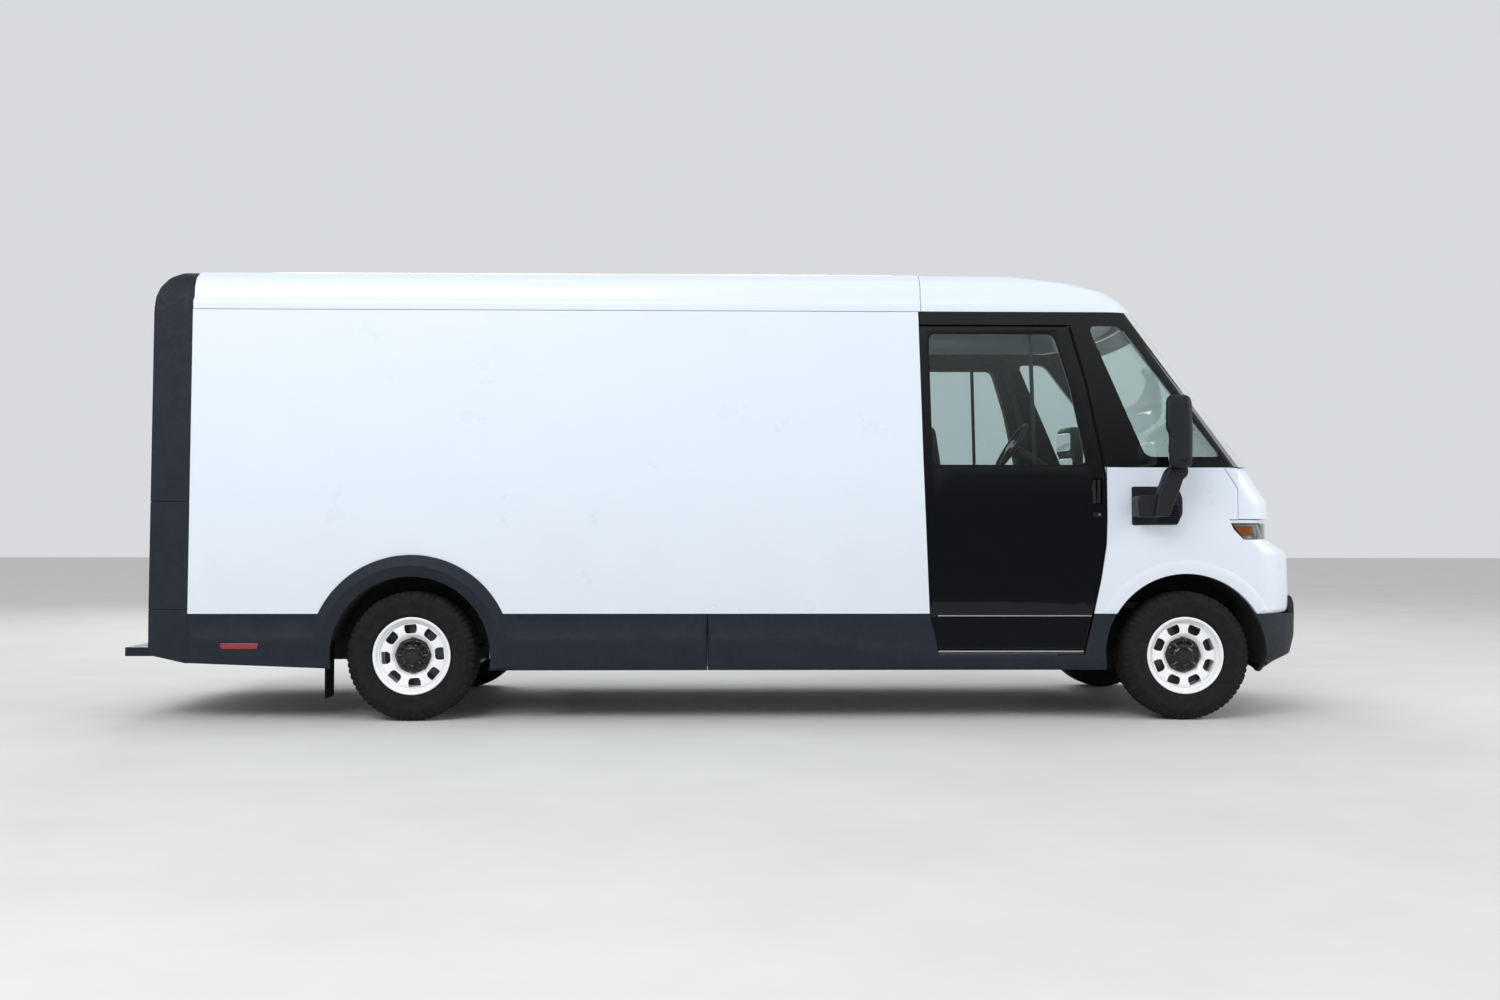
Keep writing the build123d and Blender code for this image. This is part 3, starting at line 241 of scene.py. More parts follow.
WINDOW_GLASS = clear("tinted_window_glass", "DCEAE8", 1.52)
LENS = clear("clear_polycarbonate_lens", "F2F5F7", 1.58)
RED_LENS = clear("red_marker_lens", "9C2236", 1.58, 0.12, 0.25)
AMBER_LENS = clear("amber_lens", "F08418", 1.58, 0.12, 0.3)
MIRROR_GLASS = start_material("silvered_mirror_glass", "E8EAEC", 1.0, 0.02)[0]

# %% [markdown]
# Tyres are carbon-black rubber, moulded and matt, greyer where they have scrubbed on kerbs and the road.
# The wheels are pressed steel in white enamel with brake dust in their corners. Bare metal shows on sills,
# bolts and the castings: rolled or cast aluminium, and zinc-plated steel.

# %% Rubber and metals


def rubber(name, color, worn):
    """Vulcanised rubber, dusty and scuffed."""
    material, tree, shader, place = start_material(name, color, roughness=0.82, Specular_IOR_Level=0.2)
    vary(tree, shader, "Base Color", noise(tree, place, 45, 7.0, 0.6), color, worn)
    vary(tree, shader, "Roughness", noise(tree, place, 20, 4.0), 0.72, 0.92)
    bump(tree, shader, noise(tree, place, 3.0, 3.0), 0.15, 0.5, 1.5)
    return material


def metal(name, color, roughness, grain_mm, depth_mm, stretch=(1.0, 1.0, 1.0)):
    """Bare metal; `stretch` under 1 draws the grain out along an axis, as rolling or brushing does."""
    material, tree, shader, place = start_material(name, color, 1.0, roughness)
    drawn = add(tree, "Mapping", Vector=place, Scale=stretch).outputs["Vector"]
    vary(tree, shader, "Roughness", noise(tree, drawn, grain_mm * 4, 5.0), roughness - 0.08, roughness + 0.1)
    bump(tree, shader, noise(tree, drawn, grain_mm, 3.0), depth_mm, 0.6, 1.5)
    return material


TYRE = rubber("tyre_rubber", "131315", "1F1E1D")
SEAL = rubber("seal_rubber", "0C0C0D", "151515")
ALUMINIUM = metal("rolled_aluminium", "B9BCBE", 0.34, 2.0, 0.02, (0.04, 1.0, 1.0))
CASTING = metal("cast_aluminium", "8E9092", 0.5, 4.0, 0.2)
ZINC = metal("zinc_plated_steel", "A7A59C", 0.4, 3.0, 0.03)
RIM_WHITE = enamel("wheel_white_enamel", "F8F9FB", "ECEDEE")
CABLE = rubber("cable_jacket", "C45A12", "A34A10")

# %% [markdown]
# The seat is covered in woven polyester. A plain weave crosses two sets of threads, here at 2.5 mm so that
# it shows from the doorway, and a woven cloth scatters light at its fibres' edges, which the sheen gives.

# %% Seat cloth


def woven(name, color, thread, pitch_mm=2.5):
    """Plain weave: two wave patterns at right angles, each thread's own height."""
    material, tree, shader, place = start_material(name, color, roughness=0.88, Sheen_Weight=0.25)
    waves = [add(tree, "TexWave", {"bands_direction": axis}, Vector=place,
                 Scale=1000 / pitch_mm / 20).outputs["Fac"] for axis in ("DIAGONAL", "Z")]
    weave = add(tree, "Math", {"operation": "MAXIMUM"}, _0=waves[0], _1=waves[1]).outputs["Value"]
    vary(tree, shader, "Base Color", weave, color, thread)
    bump(tree, shader, weave, 0.4, 0.6)
    return material


SEAT_CLOTH = woven("seat_cloth", "24262B", "35383F")
print("materials", len(bpy.data.materials))

# %% [markdown]
# The camera stands where the photograph was taken: level with the middle of the van, 9.8 m off its centre
# line on the right-hand side and 1.1 m above the ground, with a 35 mm lens. Its place and three small turns
# come from a fit to the wheels and body lines. Stage and light are plain: a pale floor, a soft even sky,
# and three large lamps that give the sides some shape. What a lot has across the road is darker than the
# sky, so glossy rays that leave low towards the camera's side see a dim band there, which keeps black
# panels black.

# %% Camera and stage
CAMERA_PLACE = (REAR_X + 1.839, -9.844, 1.119)
CAMERA_YAW, CAMERA_PITCH, CAMERA_ROLL = 0.02115, 0.02347, 0.0009
forward = Vector((sin(CAMERA_YAW) * cos(CAMERA_PITCH), cos(CAMERA_YAW) * cos(CAMERA_PITCH),
                  sin(CAMERA_PITCH)))
level_right = Vector((cos(CAMERA_YAW), -sin(CAMERA_YAW), 0))
level_up = level_right.cross(forward)
right = level_right * cos(CAMERA_ROLL) + level_up * sin(CAMERA_ROLL)
up = level_up * cos(CAMERA_ROLL) - level_right * sin(CAMERA_ROLL)
camera_data = bpy.data.cameras.new("camera")
camera_data.lens = 35
camera_data.sensor_width = 36
camera_data.clip_end = 200
camera = bpy.data.objects.new("camera", camera_data)
turn = Matrix((right, up, -forward)).transposed().to_4x4()
camera.matrix_world = Matrix.Translation(CAMERA_PLACE) @ turn
scene = bpy.context.scene
scene.collection.objects.link(camera)
scene.camera = camera
scene.view_settings.view_transform = "Standard"

floor_mesh = bpy.data.meshes.new("stage_floor")
FLOOR_REACH = 60
floor_mesh.from_pydata([(x, y, 0) for x, y in ((-1, -1), (1, -1), (1, 1), (-1, 1))], [], [(0, 1, 2, 3)])
floor_mesh.transform(Matrix.Scale(FLOOR_REACH, 4))
stage_floor = bpy.data.objects.new("stage_floor", floor_mesh)
scene.collection.objects.link(stage_floor)
concrete, tree, shader, place = start_material("pale_concrete", "D2D2D0", roughness=0.9)
vary(tree, shader, "Base Color", noise(tree, place, 900, 6.0, 0.6), "CFCFCD", "D6D6D4")
floor_mesh.materials.append(concrete)


def lamp(name, place, size, watts, aim=(0, 0, 1.2)):
    """Large soft lamp that points at the van."""
    data = bpy.data.lights.new(name, "AREA")
    data.shape = "RECTANGLE"
    data.size, data.size_y = size
    data.energy = watts
    lamp_object = bpy.data.objects.new(name, data)
    lamp_object.location = place
    lamp_object.rotation_euler = (Vector(aim) - Vector(place)).to_track_quat("-Z", "Y").to_euler()
    scene.collection.objects.link(lamp_object)


lamp("key", (-5.0, -11.0, 9.0), (9.0, 5.0), 900)
lamp("front_fill", (11.0, -5.0, 5.0), (5.0, 4.0), 350)
lamp("far_fill", (-2.0, 11.0, 8.0), (9.0, 5.0), 700)
world = bpy.data.worlds.new("soft_sky")
scene.world = world
world.use_nodes = True
sky = world.node_tree
sky.nodes.clear()
SKY_LIGHT, OPPOSITE_LIGHT = 0.74, 0.10
toward = add(sky, "SeparateXYZ", Vector=add(sky, "TexCoord").outputs["Generated"]).outputs
facing = add(sky, "MapRange", Value=toward["Y"], From_Min=-0.75, From_Max=-0.45, To_Min=1.0, To_Max=0.0)
low = add(sky, "MapRange", Value=toward["Z"], From_Min=0.07, From_Max=0.20, To_Min=1.0, To_Max=0.0)
shaded = add(sky, "Math", {"operation": "MULTIPLY"}, _0=facing.outputs["Result"], _1=low.outputs["Result"])
mirrored = add(sky, "Math", {"operation": "MULTIPLY"}, _0=shaded.outputs["Value"],
               _1=add(sky, "LightPath").outputs["Is Glossy Ray"])
strength = add(sky, "MapRange", Value=mirrored.outputs["Value"], To_Min=SKY_LIGHT,
               To_Max=OPPOSITE_LIGHT).outputs["Result"]
background = add(sky, "Background", Color=(0.93, 0.95, 0.98, 1.0), Strength=strength)
output = add(sky, "OutputWorld")
sky.links.new(background.outputs["Background"], output.inputs["Surface"])
print("camera at", [round(v, 3) for v in camera.location])

# %% [markdown]
# Every shaped piece below is a mesh that this script works out point by point, so a few small makers carry
# most of the work. `make` turns points and faces into an object of one material that rides on its body.
# `soften` rounds the corners of an outline, or of any list of stations, with short curves. `skin` joins rows
# of points into a surface. `pressed` fills a side-view outline with a fine grid, lays it on a surface and
# rolls its edges back, which is how a panel comes out of a press. `pair` makes a piece on both sides.

# %% Mesh makers
SIDES = (("left", 1), ("right", -1))
WHEELS = [(f"{axle}_{label}", x, side) for axle, x in (("front", FRONT_X), ("rear", REAR_X))
          for label, side in SIDES]
SLOTS = {WHITE: "white_paint", SHUTTER: "shutter_white", CHASSIS: "chassis_black", GLOSS_BLACK: "gloss_black",
         CAP_BLACK: "hub_black", KICK_BLACK: "gloss_black", CLADDING: "dark_cladding", BUMPER: "bumper_grey",
         MIRROR_SHELL: "mirror_black", LINER: "liner_black", INTERIOR: "interior_black",
         LINING: "interior_grey", HEADLINER: "rim_white", WINDOW_GLASS: "window_glass", LENS: "lamp_lens",
         RED_LENS: "red_lens", AMBER_LENS: "lamp_lens", MIRROR_GLASS: "lamp_lens", TYRE: "tyre_rubber",
         SEAL: "interior_black", ALUMINIUM: "rim_white", CASTING: "battery_case", ZINC: "rim_white",
         RIM_WHITE: "rim_white", CABLE: "drive_alloy", SEAT_CLOTH: "seat_cloth"}
FAR_Y = 1.3
BINS_A_STEP = 2.5


def face_out(mesh, merge=0.0):
    """Join points closer than `merge` and turn every face outwards."""
    shape = bmesh.new()
    shape.from_mesh(mesh)
    if merge:
        bmesh.ops.remove_doubles(shape, verts=shape.verts, dist=merge)
    bmesh.ops.recalc_face_normals(shape, faces=shape.faces)
    shape.to_mesh(mesh)
    shape.free()


def tidy_shading(piece, sharp=35):
    """Smooth shading, with creases where faces meet at more than an angle in degrees."""
    mesh = piece.data
    mesh.polygons.foreach_set("use_smooth", [True] * len(mesh.polygons))
    mesh.set_sharp_from_angle(angle=radians(sharp))


def round_edges(piece, round_mm, sharp):
    """Bevel of a real width on every edge sharper than an angle in degrees."""
    bevel = piece.modifiers.new("rounded_edges", "BEVEL")
    bevel.width = round_mm / 1000
    bevel.segments = 2
    bevel.limit_method = "ANGLE"
    bevel.angle_limit = radians(sharp)
    bevel.harden_normals = True


def make(name, points, faces, material, body="root", slot=None, stands_for="", side=1, sharp=35,
         round_mm=0.0):
    """Mesh object on its body; side -1 mirrors it to the van's right, and slot is not used."""
    mesh = bpy.data.meshes.new(name)
    mesh.from_pydata([(x, side * y, z) for x, y, z in points], [], faces)
    face_out(mesh, 1e-5)
    piece = bpy.data.objects.new(name, mesh)
    scene.collection.objects.link(piece)
    tidy_shading(piece, sharp)
    if round_mm:
        round_edges(piece, round_mm, sharp)
    mesh.materials.append(material)
    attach(piece, body)
    slot = SLOTS[material] if slot is None else slot
    if stands_for:
        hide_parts(*stands_for.split())
    return piece


def pair(maker, name, *shape, body="root", stands_for="", **place):
    """One piece a side; {} takes the side's name, and a node that holds both sides goes with the left one."""
    for label, side in SIDES:
        node = stands_for.format(label) if side > 0 or "{}" in stands_for else ""
        maker(f"{name}_{label}", *shape, side=side, body=body.format(label), stands_for=node, **place)


def soften(points, radius, steps=4, closed=False):
    """Round each corner of a list of points of any dimension with a short curve."""
    rounded = []
    count = len(points)
    for k, point in enumerate(points):
        if not closed and k in (0, count - 1):
            rounded.append(tuple(point))
            continue
        corner = Vector(point)
        legs = [Vector(points[k - 1]) - corner, Vector(points[(k + 1) % count]) - corner]
        ends = [corner + leg * min(radius / max(leg.length, 1e-9), 0.49) for leg in legs]
        for step in range(steps + 1):
            t = step / steps
            rounded.append(tuple(ends[0] * (1 - t) ** 2 + corner * 2 * t * (1 - t) + ends[1] * t * t))
    return rounded


def arc(centre, radius, start, stop, steps):
    """Points on a circle, angles in degrees from the first axis to the second."""
    angles = [radians(start + (stop - start) * k / steps) for k in range(steps + 1)]
    return [(centre[0] + radius * cos(a), centre[1] + radius * sin(a)) for a in angles]


def grid_faces(rows, columns, close_rows=False, close_columns=False, first=0):
    """Quads over a grid of points stored row by row."""
    faces = []
    for r in range(rows if close_rows else rows - 1):
        for c in range(columns if close_columns else columns - 1):
            r2, c2 = (r + 1) % rows, (c + 1) % columns
            faces.append((first + r * columns + c, first + r * columns + c2, first + r2 * columns + c2,
                          first + r2 * columns + c))
    return faces


def skin(name, rows, material, closed=True, caps=True, loop=False, **place):
    """Surface through rows of points; each row closed on itself, both ends capped."""
    columns = len(rows[0])
    faces = grid_faces(len(rows), columns, loop, closed)
    if caps and closed and not loop:
        last = (len(rows) - 1) * columns
        faces += [tuple(range(columns)), tuple(range(last, last + columns))]
    return make(name, [point for row in rows for point in row], faces, material, **place)


def lathe(name, profile, material, segments, node="", shape=None, **place):
    """Closed profile (radius, outboard distance) turned about each wheel's axle; shape may move points."""
    for wheel, x, side in WHEELS:
        rows = []
        for k in range(segments):
            turn = 2 * pi * k / segments
            points = [shape(r, out, turn) if shape else (r, out) for r, out in profile]
            rows.append([(x + r * cos(turn), side * (WHEEL_Y + out), AXLE_Z + r * sin(turn))
                         for r, out in points])
        skin(f"{name}_{wheel}", rows, material, caps=False, loop=True, body=f"wheel_{wheel}",
             stands_for=node and f"{node}_{wheel}", **place)


def inside(x, z, loop):
    """True where the point lies within a closed outline."""
    hit = False
    for k, (x1, z1) in enumerate(loop):
        x0, z0 = loop[k - 1]
        if (z0 > z) != (z1 > z) and x < (x1 - x0) * (z - z0) / (z1 - z0) + x0:
            hit = not hit
    return hit


def area(loop):
    """Signed area, positive where the outline runs anticlockwise."""
    return sum(loop[k - 1][0] * p[1] - p[0] * loop[k - 1][1] for k, p in enumerate(loop)) / 2


def anticlockwise(loop):
    """Outline as a list that runs anticlockwise."""
    return list(loop) if area(loop) > 0 else list(loop)[::-1]


def inset(loop, distance):
    """Outline moved to its left by a small distance, corners mitred."""
    moved = []
    for k, point in enumerate(loop):
        here = Vector(point)
        before = (here - Vector(loop[k - 1])).normalized()
        after = (Vector(loop[(k + 1) % len(loop)]) - here).normalized()
        middle = (before + after).normalized()
        scale = distance / max(middle.dot(after), 0.4)
        moved.append((here.x - middle.y * scale, here.y + middle.x * scale))
    return moved


def fill(loops, spacing, creases=()):
    """Triangles inside the first loop and outside the others, with a grid of inner points."""
    flat = [p for loop in loops for p in loop]
    edges, start = [], 0
    for loop in loops:
        edges += [(start + k, start + (k + 1) % len(loop)) for k in range(len(loop))]
        start += len(loop)
    for line in creases:
        edges += [(len(flat) + k, len(flat) + k + 1) for k in range(len(line) - 1)]
        flat += line

    def within(x, z):
        return inside(x, z, loops[0]) and not any(inside(x, z, hole) for hole in loops[1:])

    def bin_of(point):
        return tuple(int(v / spacing * BINS_A_STEP) for v in point)

    low = [min(p[k] for p in loops[0]) for k in (0, 1)]
    high = [max(p[k] for p in loops[0]) for k in (0, 1)]
    steps = [max(1, ceil((high[k] - low[k]) / spacing)) for k in (0, 1)]
    crowded = {(a + i, b + j) for a, b in map(bin_of, flat) for i in (-1, 0, 1) for j in (-1, 0, 1)}
    for i in range(1, steps[0]):
        for j in range(1, steps[1]):
            x, z = (low[k] + (high[k] - low[k]) * n / steps[k] for k, n in enumerate((i, j)))
            if bin_of((x, z)) not in crowded and within(x, z):
                flat.append((x, z))
    result = delaunay_2d_cdt([Vector(p) for p in flat], edges, [], 0, 1e-7)
    points = result[0]
    kept = [tuple(triangle) for triangle in result[2]
            if within(*(sum(points[v][k] for v in triangle) / 3 for k in (0, 1)))]
    return [tuple(p) for p in points], kept


def pressed(name, outline, surface, thickness, material, holes=(), roll=0.005, spacing=0.3, creases=(),
            **place):
    """Panel with its outline in side view, laid on surface(x, z) and rolled back at every edge."""
    loops = [anticlockwise(outline)] + [anticlockwise(hole)[::-1] for hole in holes]
    points, faces = [], []
    stages = [(0.0, thickness), (0.0, roll), (roll * 0.3, roll * 0.3), (roll, 0.0)]
    for loop in loops:
        first = len(points)
        for distance, depth in stages:
            points += [(x, surface(x, z) - depth, z) for x, z in inset(loop, distance)]
        faces += grid_faces(len(stages), len(loop), close_columns=True, first=first)
    for distance, depth in ((roll, 0.0), (0.0, thickness)):
        flat, triangles = fill([inset(loop, distance) for loop in loops], spacing,
                               creases if not depth else ())
        first = len(points)
        points += [(x, surface(x, z) - depth, z) for x, z in flat]
        faces += [tuple(first + v for v in triangle) for triangle in triangles]
    piece = make(name, points, faces, material, **place)
    piece.modifiers.new("flat_faces_lead", "WEIGHTED_NORMAL").keep_sharp = True
    return piece


def evaluated(piece):
    """New mesh of a piece with its modifiers applied."""
    bpy.context.view_layer.update()
    return bpy.data.meshes.new_from_object(piece.evaluated_get(bpy.context.evaluated_depsgraph_get()))


def cut(piece, cutter):
    """Take a throwaway object out of a piece."""
    modifier = piece.modifiers.new("cut", "BOOLEAN")
    modifier.object = cutter
    modifier.solver = "EXACT"
    shaped = evaluated(piece)
    piece.modifiers.remove(modifier)
    piece.data = shaped
    bpy.data.objects.remove(cutter)


def prism(outline, y0=-FAR_Y, y1=FAR_Y):
    """Throwaway side-view prism for cutting."""
    count = len(outline)
    points = [(x, y, z) for y in (y0, y1) for x, z in outline]
    faces = grid_faces(2, count, close_columns=True) + [tuple(range(count)), tuple(range(count, 2 * count))]
    mesh = bpy.data.meshes.new("cutter")
    mesh.from_pydata(points, [], faces)
    face_out(mesh)
    cutter = bpy.data.objects.new("cutter", mesh)
    scene.collection.objects.link(cutter)
    return cutter


def tube(name, path, radius, material, sides=10, bend=0.03, **place):
    """Round bar or hose along a path whose corners are softened."""
    line = [Vector(p) for p in soften(path, bend, 5)]
    rows = []
    across = None
    for k, point in enumerate(line):
        along = (line[min(k + 1, len(line) - 1)] - line[max(k - 1, 0)]).normalized()
        seed = across or (Vector((0, 0, 1)) if abs(along.z) < 0.9 else Vector((1, 0, 0)))
        across = (seed - along * seed.dot(along)).normalized()
        other = along.cross(across)
        turns = [2 * pi * s / sides for s in range(sides)]
        rows.append([tuple(point + (across * cos(t) + other * sin(t)) * radius) for t in turns])
    return skin(name, rows, material, **place)


def bar(name, x, y, z, material, round_mm=2.0, **place):
    """Short rectangular section between two corners, its edges rounded."""
    points = [(a, b, c) for c in z for b in y for a in x]
    faces = [(0, 1, 3, 2), (4, 5, 7, 6), (0, 1, 5, 4), (2, 3, 7, 6), (0, 2, 6, 4), (1, 3, 7, 5)]
    return make(name, points, faces, material, round_mm=round_mm, **place)


print("makers ready")

# %% [markdown]
# The tyres are 245 mm wide on 17 inch rims, moulded with four grooves round the tread and blocks that wrap
# over the shoulders. A lathe turns the profile, and a small function sinks the grooves between the shoulder
# blocks as the turn goes on, so the blocks are part of one closed rubber ring.

# %% Tyres
BEAD = (0.217, 0.089)
BLOCKS = 64
HALF_TYRE = [BEAD, (0.234, 0.0885), (0.240, 0.097), (0.252, 0.1065), (0.262, 0.1095), (0.268, 0.1085),
             (0.290, 0.1165), (0.312, 0.1195), (0.318, 0.1215), (0.334, 0.1210), (0.338, 0.1190),
             (0.352, 0.1165), (0.364, 0.1130), (0.374, 0.1080), (0.3815, 0.1010), (0.3850, 0.0920),
             (0.3865, 0.0800)]
GROOVES = (0.062, 0.020)
TREAD_R = 0.3872
GROOVE_WIDTH, GROOVE_DEPTH = 0.010, 0.009
TREAD = []
for middle in GROOVES:
    outer_edge, inner_edge = middle + GROOVE_WIDTH / 2, middle - GROOVE_WIDTH / 2
    TREAD += [(TREAD_R, outer_edge), (TREAD_R - GROOVE_DEPTH, outer_edge - 0.001),
              (TREAD_R - GROOVE_DEPTH, inner_edge + 0.001), (0.3878, inner_edge)]
LEFT_HALF = HALF_TYRE + TREAD
TYRE_PROFILE = LEFT_HALF + [(r, -out) for r, out in reversed(LEFT_HALF)]
SHOULDER_START, SHOULDER_Y = 0.345, 0.066
RIB_R, RIB_Y = 0.3865, 0.058
GAP_SHARE = 0.24


def tread_block(r, out, turn):
    """Sink the gaps between the shoulder blocks and the sipes across the ribs."""
    phase = (turn * BLOCKS / (2 * pi) + (0.5 if out < 0 else 0.0)) % 1.0
    gap = phase < GAP_SHARE
    if gap and r > SHOULDER_START and abs(out) > SHOULDER_Y:
        return r - 0.006 * min(1, (r - SHOULDER_START) / 0.02), out - 0.004 * (1 if out > 0 else -1)
    if gap and r > RIB_R and abs(out) < RIB_Y:
        return r - 0.004, out
    return r, out


lathe("tyre_tread", TYRE_PROFILE, TYRE, BLOCKS * 4, "tyre", tread_block, sharp=40)
print("tyres turned:", len(WHEELS), "with", BLOCKS, "shoulder blocks")

# %% [markdown]
# A steel wheel is a rolled barrel with a pressed disc welded in. The disc dips from its rim to a raised
# ring of eight windows, six-sided and wider towards the rim, whose edges are turned inwards, and goes in
# under the cap. The disc is a pressed panel on a round surface, and the barrel and its flange come off the
# lathe.

# %% Wheels
DISC = [(0.050, 0.046), (0.106, 0.046), (0.117, 0.055), (0.127, 0.066), (0.145, 0.071), (0.180, 0.072),
        (0.190, 0.069), (0.1965, 0.062)]
BARREL = soften([(0.233, 0.100), (0.2335, 0.091), (0.219, 0.0885), (0.217, 0.068), (0.2005, 0.058),
                 (0.2005, -0.040), (0.217, -0.056), (0.217, -0.0885), (0.233, -0.091), (0.233, -0.100),
                 (0.209, -0.0995), (0.207, -0.052), (0.192, -0.034), (0.192, 0.052), (0.2085, 0.072),
                 (0.213, 0.094), (0.224, 0.1035)], 0.006, 3, True)
WINDOWS = {"front": 22.5, "rear": -4.5}
WINDOW_COUNT = 8
BORE_R, DISC_R = 0.050, 0.1968
WHEEL_WINDOW = soften([(0.1340, -0.0270), (0.1540, -0.0375), (0.1870, -0.0365), (0.1870, 0.0365),
                       (0.1540, 0.0375), (0.1340, 0.0270)], 0.009, 4, True)


def disc_face(r):
    """Outboard distance of the disc at a radius."""
    for (r0, out0), (r1, out1) in zip(DISC, DISC[1:]):
        if r <= r1:
            t = max(0.0, (r - r0) / (r1 - r0))
            return out0 + (out1 - out0) * t * t * (3 - 2 * t)
    return DISC[-1][1]


def wheel_window(turn):
    """Six-sided opening at a turn, wider towards the rim, in wheel coordinates."""
    c, s = cos(radians(turn)), sin(radians(turn))
    return [(x * c - z * s, x * s + z * c) for x, z in WHEEL_WINDOW]


lathe("rim_barrel", BARREL, RIM_WHITE, 96, "rim")
for name, axle_x, side in WHEELS:
    start = -WINDOWS[name.split("_")[0]]
    windows = [wheel_window(start + 360 / WINDOW_COUNT * k) for k in range(WINDOW_COUNT)]
    disc = pressed(f"rim_disc_{name}", arc((0, 0), DISC_R, 0, 356.25, 95),
                   lambda x, z: disc_face(hypot(x, z)), 0.006, RIM_WHITE,
                   [*windows, arc((0, 0), BORE_R, 0, 350, 35)], 0.0025, 0.009, body=f"wheel_{name}",
                   side=side)
    disc.data.transform(Matrix.Translation((axle_x, side * WHEEL_Y, AXLE_Z)))
print("wheels pressed:", WINDOW_COUNT, "windows each")

# %% [markdown]
# The cap is moulded in gloss black, as a ring of eight nut covers round a flat centre. It hides the hub,
# whose brake disc and flange still show through the windows. The covers are bumps in the lathe's shape
# function.

# %% Hub caps
CAP = soften([(0.0005, 0.082), (0.044, 0.082), (0.052, 0.078), (0.066, 0.067), (0.090, 0.067), (0.102, 0.058),
              (0.107, 0.049), (0.100, 0.044), (0.0005, 0.044)], 0.004, 3)
HUB = soften([(0.0005, -0.044), (0.055, -0.044), (0.055, -0.028), (0.186, -0.028), (0.186, -0.006),
              (0.075, -0.006), (0.075, 0.034), (0.0495, 0.036), (0.0495, 0.044), (0.0005, 0.044)], 0.002, 2)
NUT_RING_R = 0.080


def nut_covers(r, out, turn):
    """Eight bumps round the cap."""
    wave = max(0.0, cos(8 * turn)) ** 0.6
    near = max(0.0, 1 - abs(r - NUT_RING_R) / 0.024)
    swell = wave * min(1.0, near * 2.5) if out > 0.05 else 0.0
    return r + (0.003 * wave if r > 0.098 else 0.0), out + 0.013 * swell


lathe("hub_cap", CAP, CAP_BLACK, 128, "hub", nut_covers, sharp=50)
lathe("hub_disc", HUB, CHASSIS, 64, slot="hub_black")
print("caps and hubs done")

# %% [markdown]
# The cab's front wraps round in plan: straight sides, two rounded corners and a bowed nose. Seen from
# above, each height is one such outline, so the nose, hood, bumper, windshield and roof are all lofts
# through a short table of heights. `plan` gives one outline from the left rear to the right rear, and
# `plate` closes an outer and an inner surface into one sheet of real thickness.

# %% Lofts through plan outlines
DOME_R = 3.470


def plan(nose, half, corner, bow, back, half_back=None, y_stop=None, steps=(6, 10, 24)):
    """Plan outline; with y_stop it ends there on the left half instead of coming round."""
    centre_x, corner_y = nose - bow, half - corner
    corner_x = centre_x + sqrt((bow - corner) ** 2 - corner_y ** 2)
    meet = atan2(corner_y, corner_x - centre_x)
    start_y = half_back or half
    left = [(back + (corner_x - back) * k / steps[0], start_y + (half - start_y) * k / steps[0])
            for k in range(steps[0])]
    for k in range(steps[1]):
        angle = pi / 2 + (meet - pi / 2) * k / steps[1]
        left.append((corner_x + corner * cos(angle), corner_y + corner * sin(angle)))
    last = asin_safe(y_stop / bow) if y_stop else 0.0
    for k in range(steps[2] // 2 + 1):
        angle = meet + (last - meet) * k / (steps[2] // 2)
        left.append((centre_x + bow * cos(angle), bow * sin(angle)))
    return left if y_stop else left + [(x, -y) for x, y in reversed(left[:-1])]


def asin_safe(ratio):
    """Angle whose sine is the ratio."""
    return atan2(ratio, sqrt(max(0.0, 1 - ratio * ratio)))


def plate(name, outer, inner, material, **place):
    """Closed sheet between two grids of points that match row by row."""
    rows, columns = len(outer), len(outer[0])
    second = rows * columns
    faces = grid_faces(rows, columns) + grid_faces(rows, columns, first=second)
    border = list(range(columns))
    border += [r * columns + columns - 1 for r in range(1, rows)]
    border += [(rows - 1) * columns + c for c in range(columns - 2, -1, -1)]
    border += [r * columns for r in range(rows - 2, 0, -1)]
    for before, here in zip([border[-1], *border], border):
        faces.append((before, here, here + second, before + second))
    return make(name, [p for row in [*outer, *inner] for p in row], faces, material, **place)


def cab_rows(levels, back, depth=0.0, y_stop=None, soft=0.012):
    """Rows of points through levels of height, nose, corner and bow; the nose counts from the front axle."""
    rows = []
    for z, nose, corner, bow in soften(levels, soft):
        outline = plan(FRONT_X + nose - depth, side_y(z) - depth, max(corner - depth, 0.02), bow - depth,
                       FRONT_X + back, y_stop=y_stop)
        rows.append([(x, y, z) for x, y in outline])
    return rows


def shell(name, levels, thickness, back, material, y_stop=None, soft=0.012, depth=0.0, **place):
    """Wrapped sheet: one side of the cab, or with no y_stop the whole front."""
    return plate(name, cab_rows(levels, back, depth, y_stop, soft),
                 cab_rows(levels, back, depth + thickness, y_stop, soft), material, **place)


def from_front(points, axle_x=FRONT_X):
    """Side-view points in millimetres from an axle, as metres in the van's frame."""
    return [(axle_x + x / 1000, z / 1000) for x, z in points]


def circle_angle(radius, z):
    """Angle in degrees at which a circle round an axle reaches a height, on its forward side."""
    return 180 / pi * asin_safe((z - AXLE_Z) / radius)


def clear_arches(piece, radius, near_y):
    """Take the room of both front wheels out of a piece, outboard of near_y."""
    for y in ((near_y, FAR_Y), (-FAR_Y, -near_y)):
        cut(piece, prism(arc((FRONT_X, AXLE_Z), radius, 0, 354, 95), *y))


# %% [markdown]
# The white front is one big moulding on each side of the hood: fenders, nose and the shelf that carries the
# lamps. It is lofted whole, then the arches, the hood's opening, the lamps' recess and the doors' edge are
# cut out of it, which leaves it as one closed sheet. The hood is a panel of its own, 3 mm clear all round.

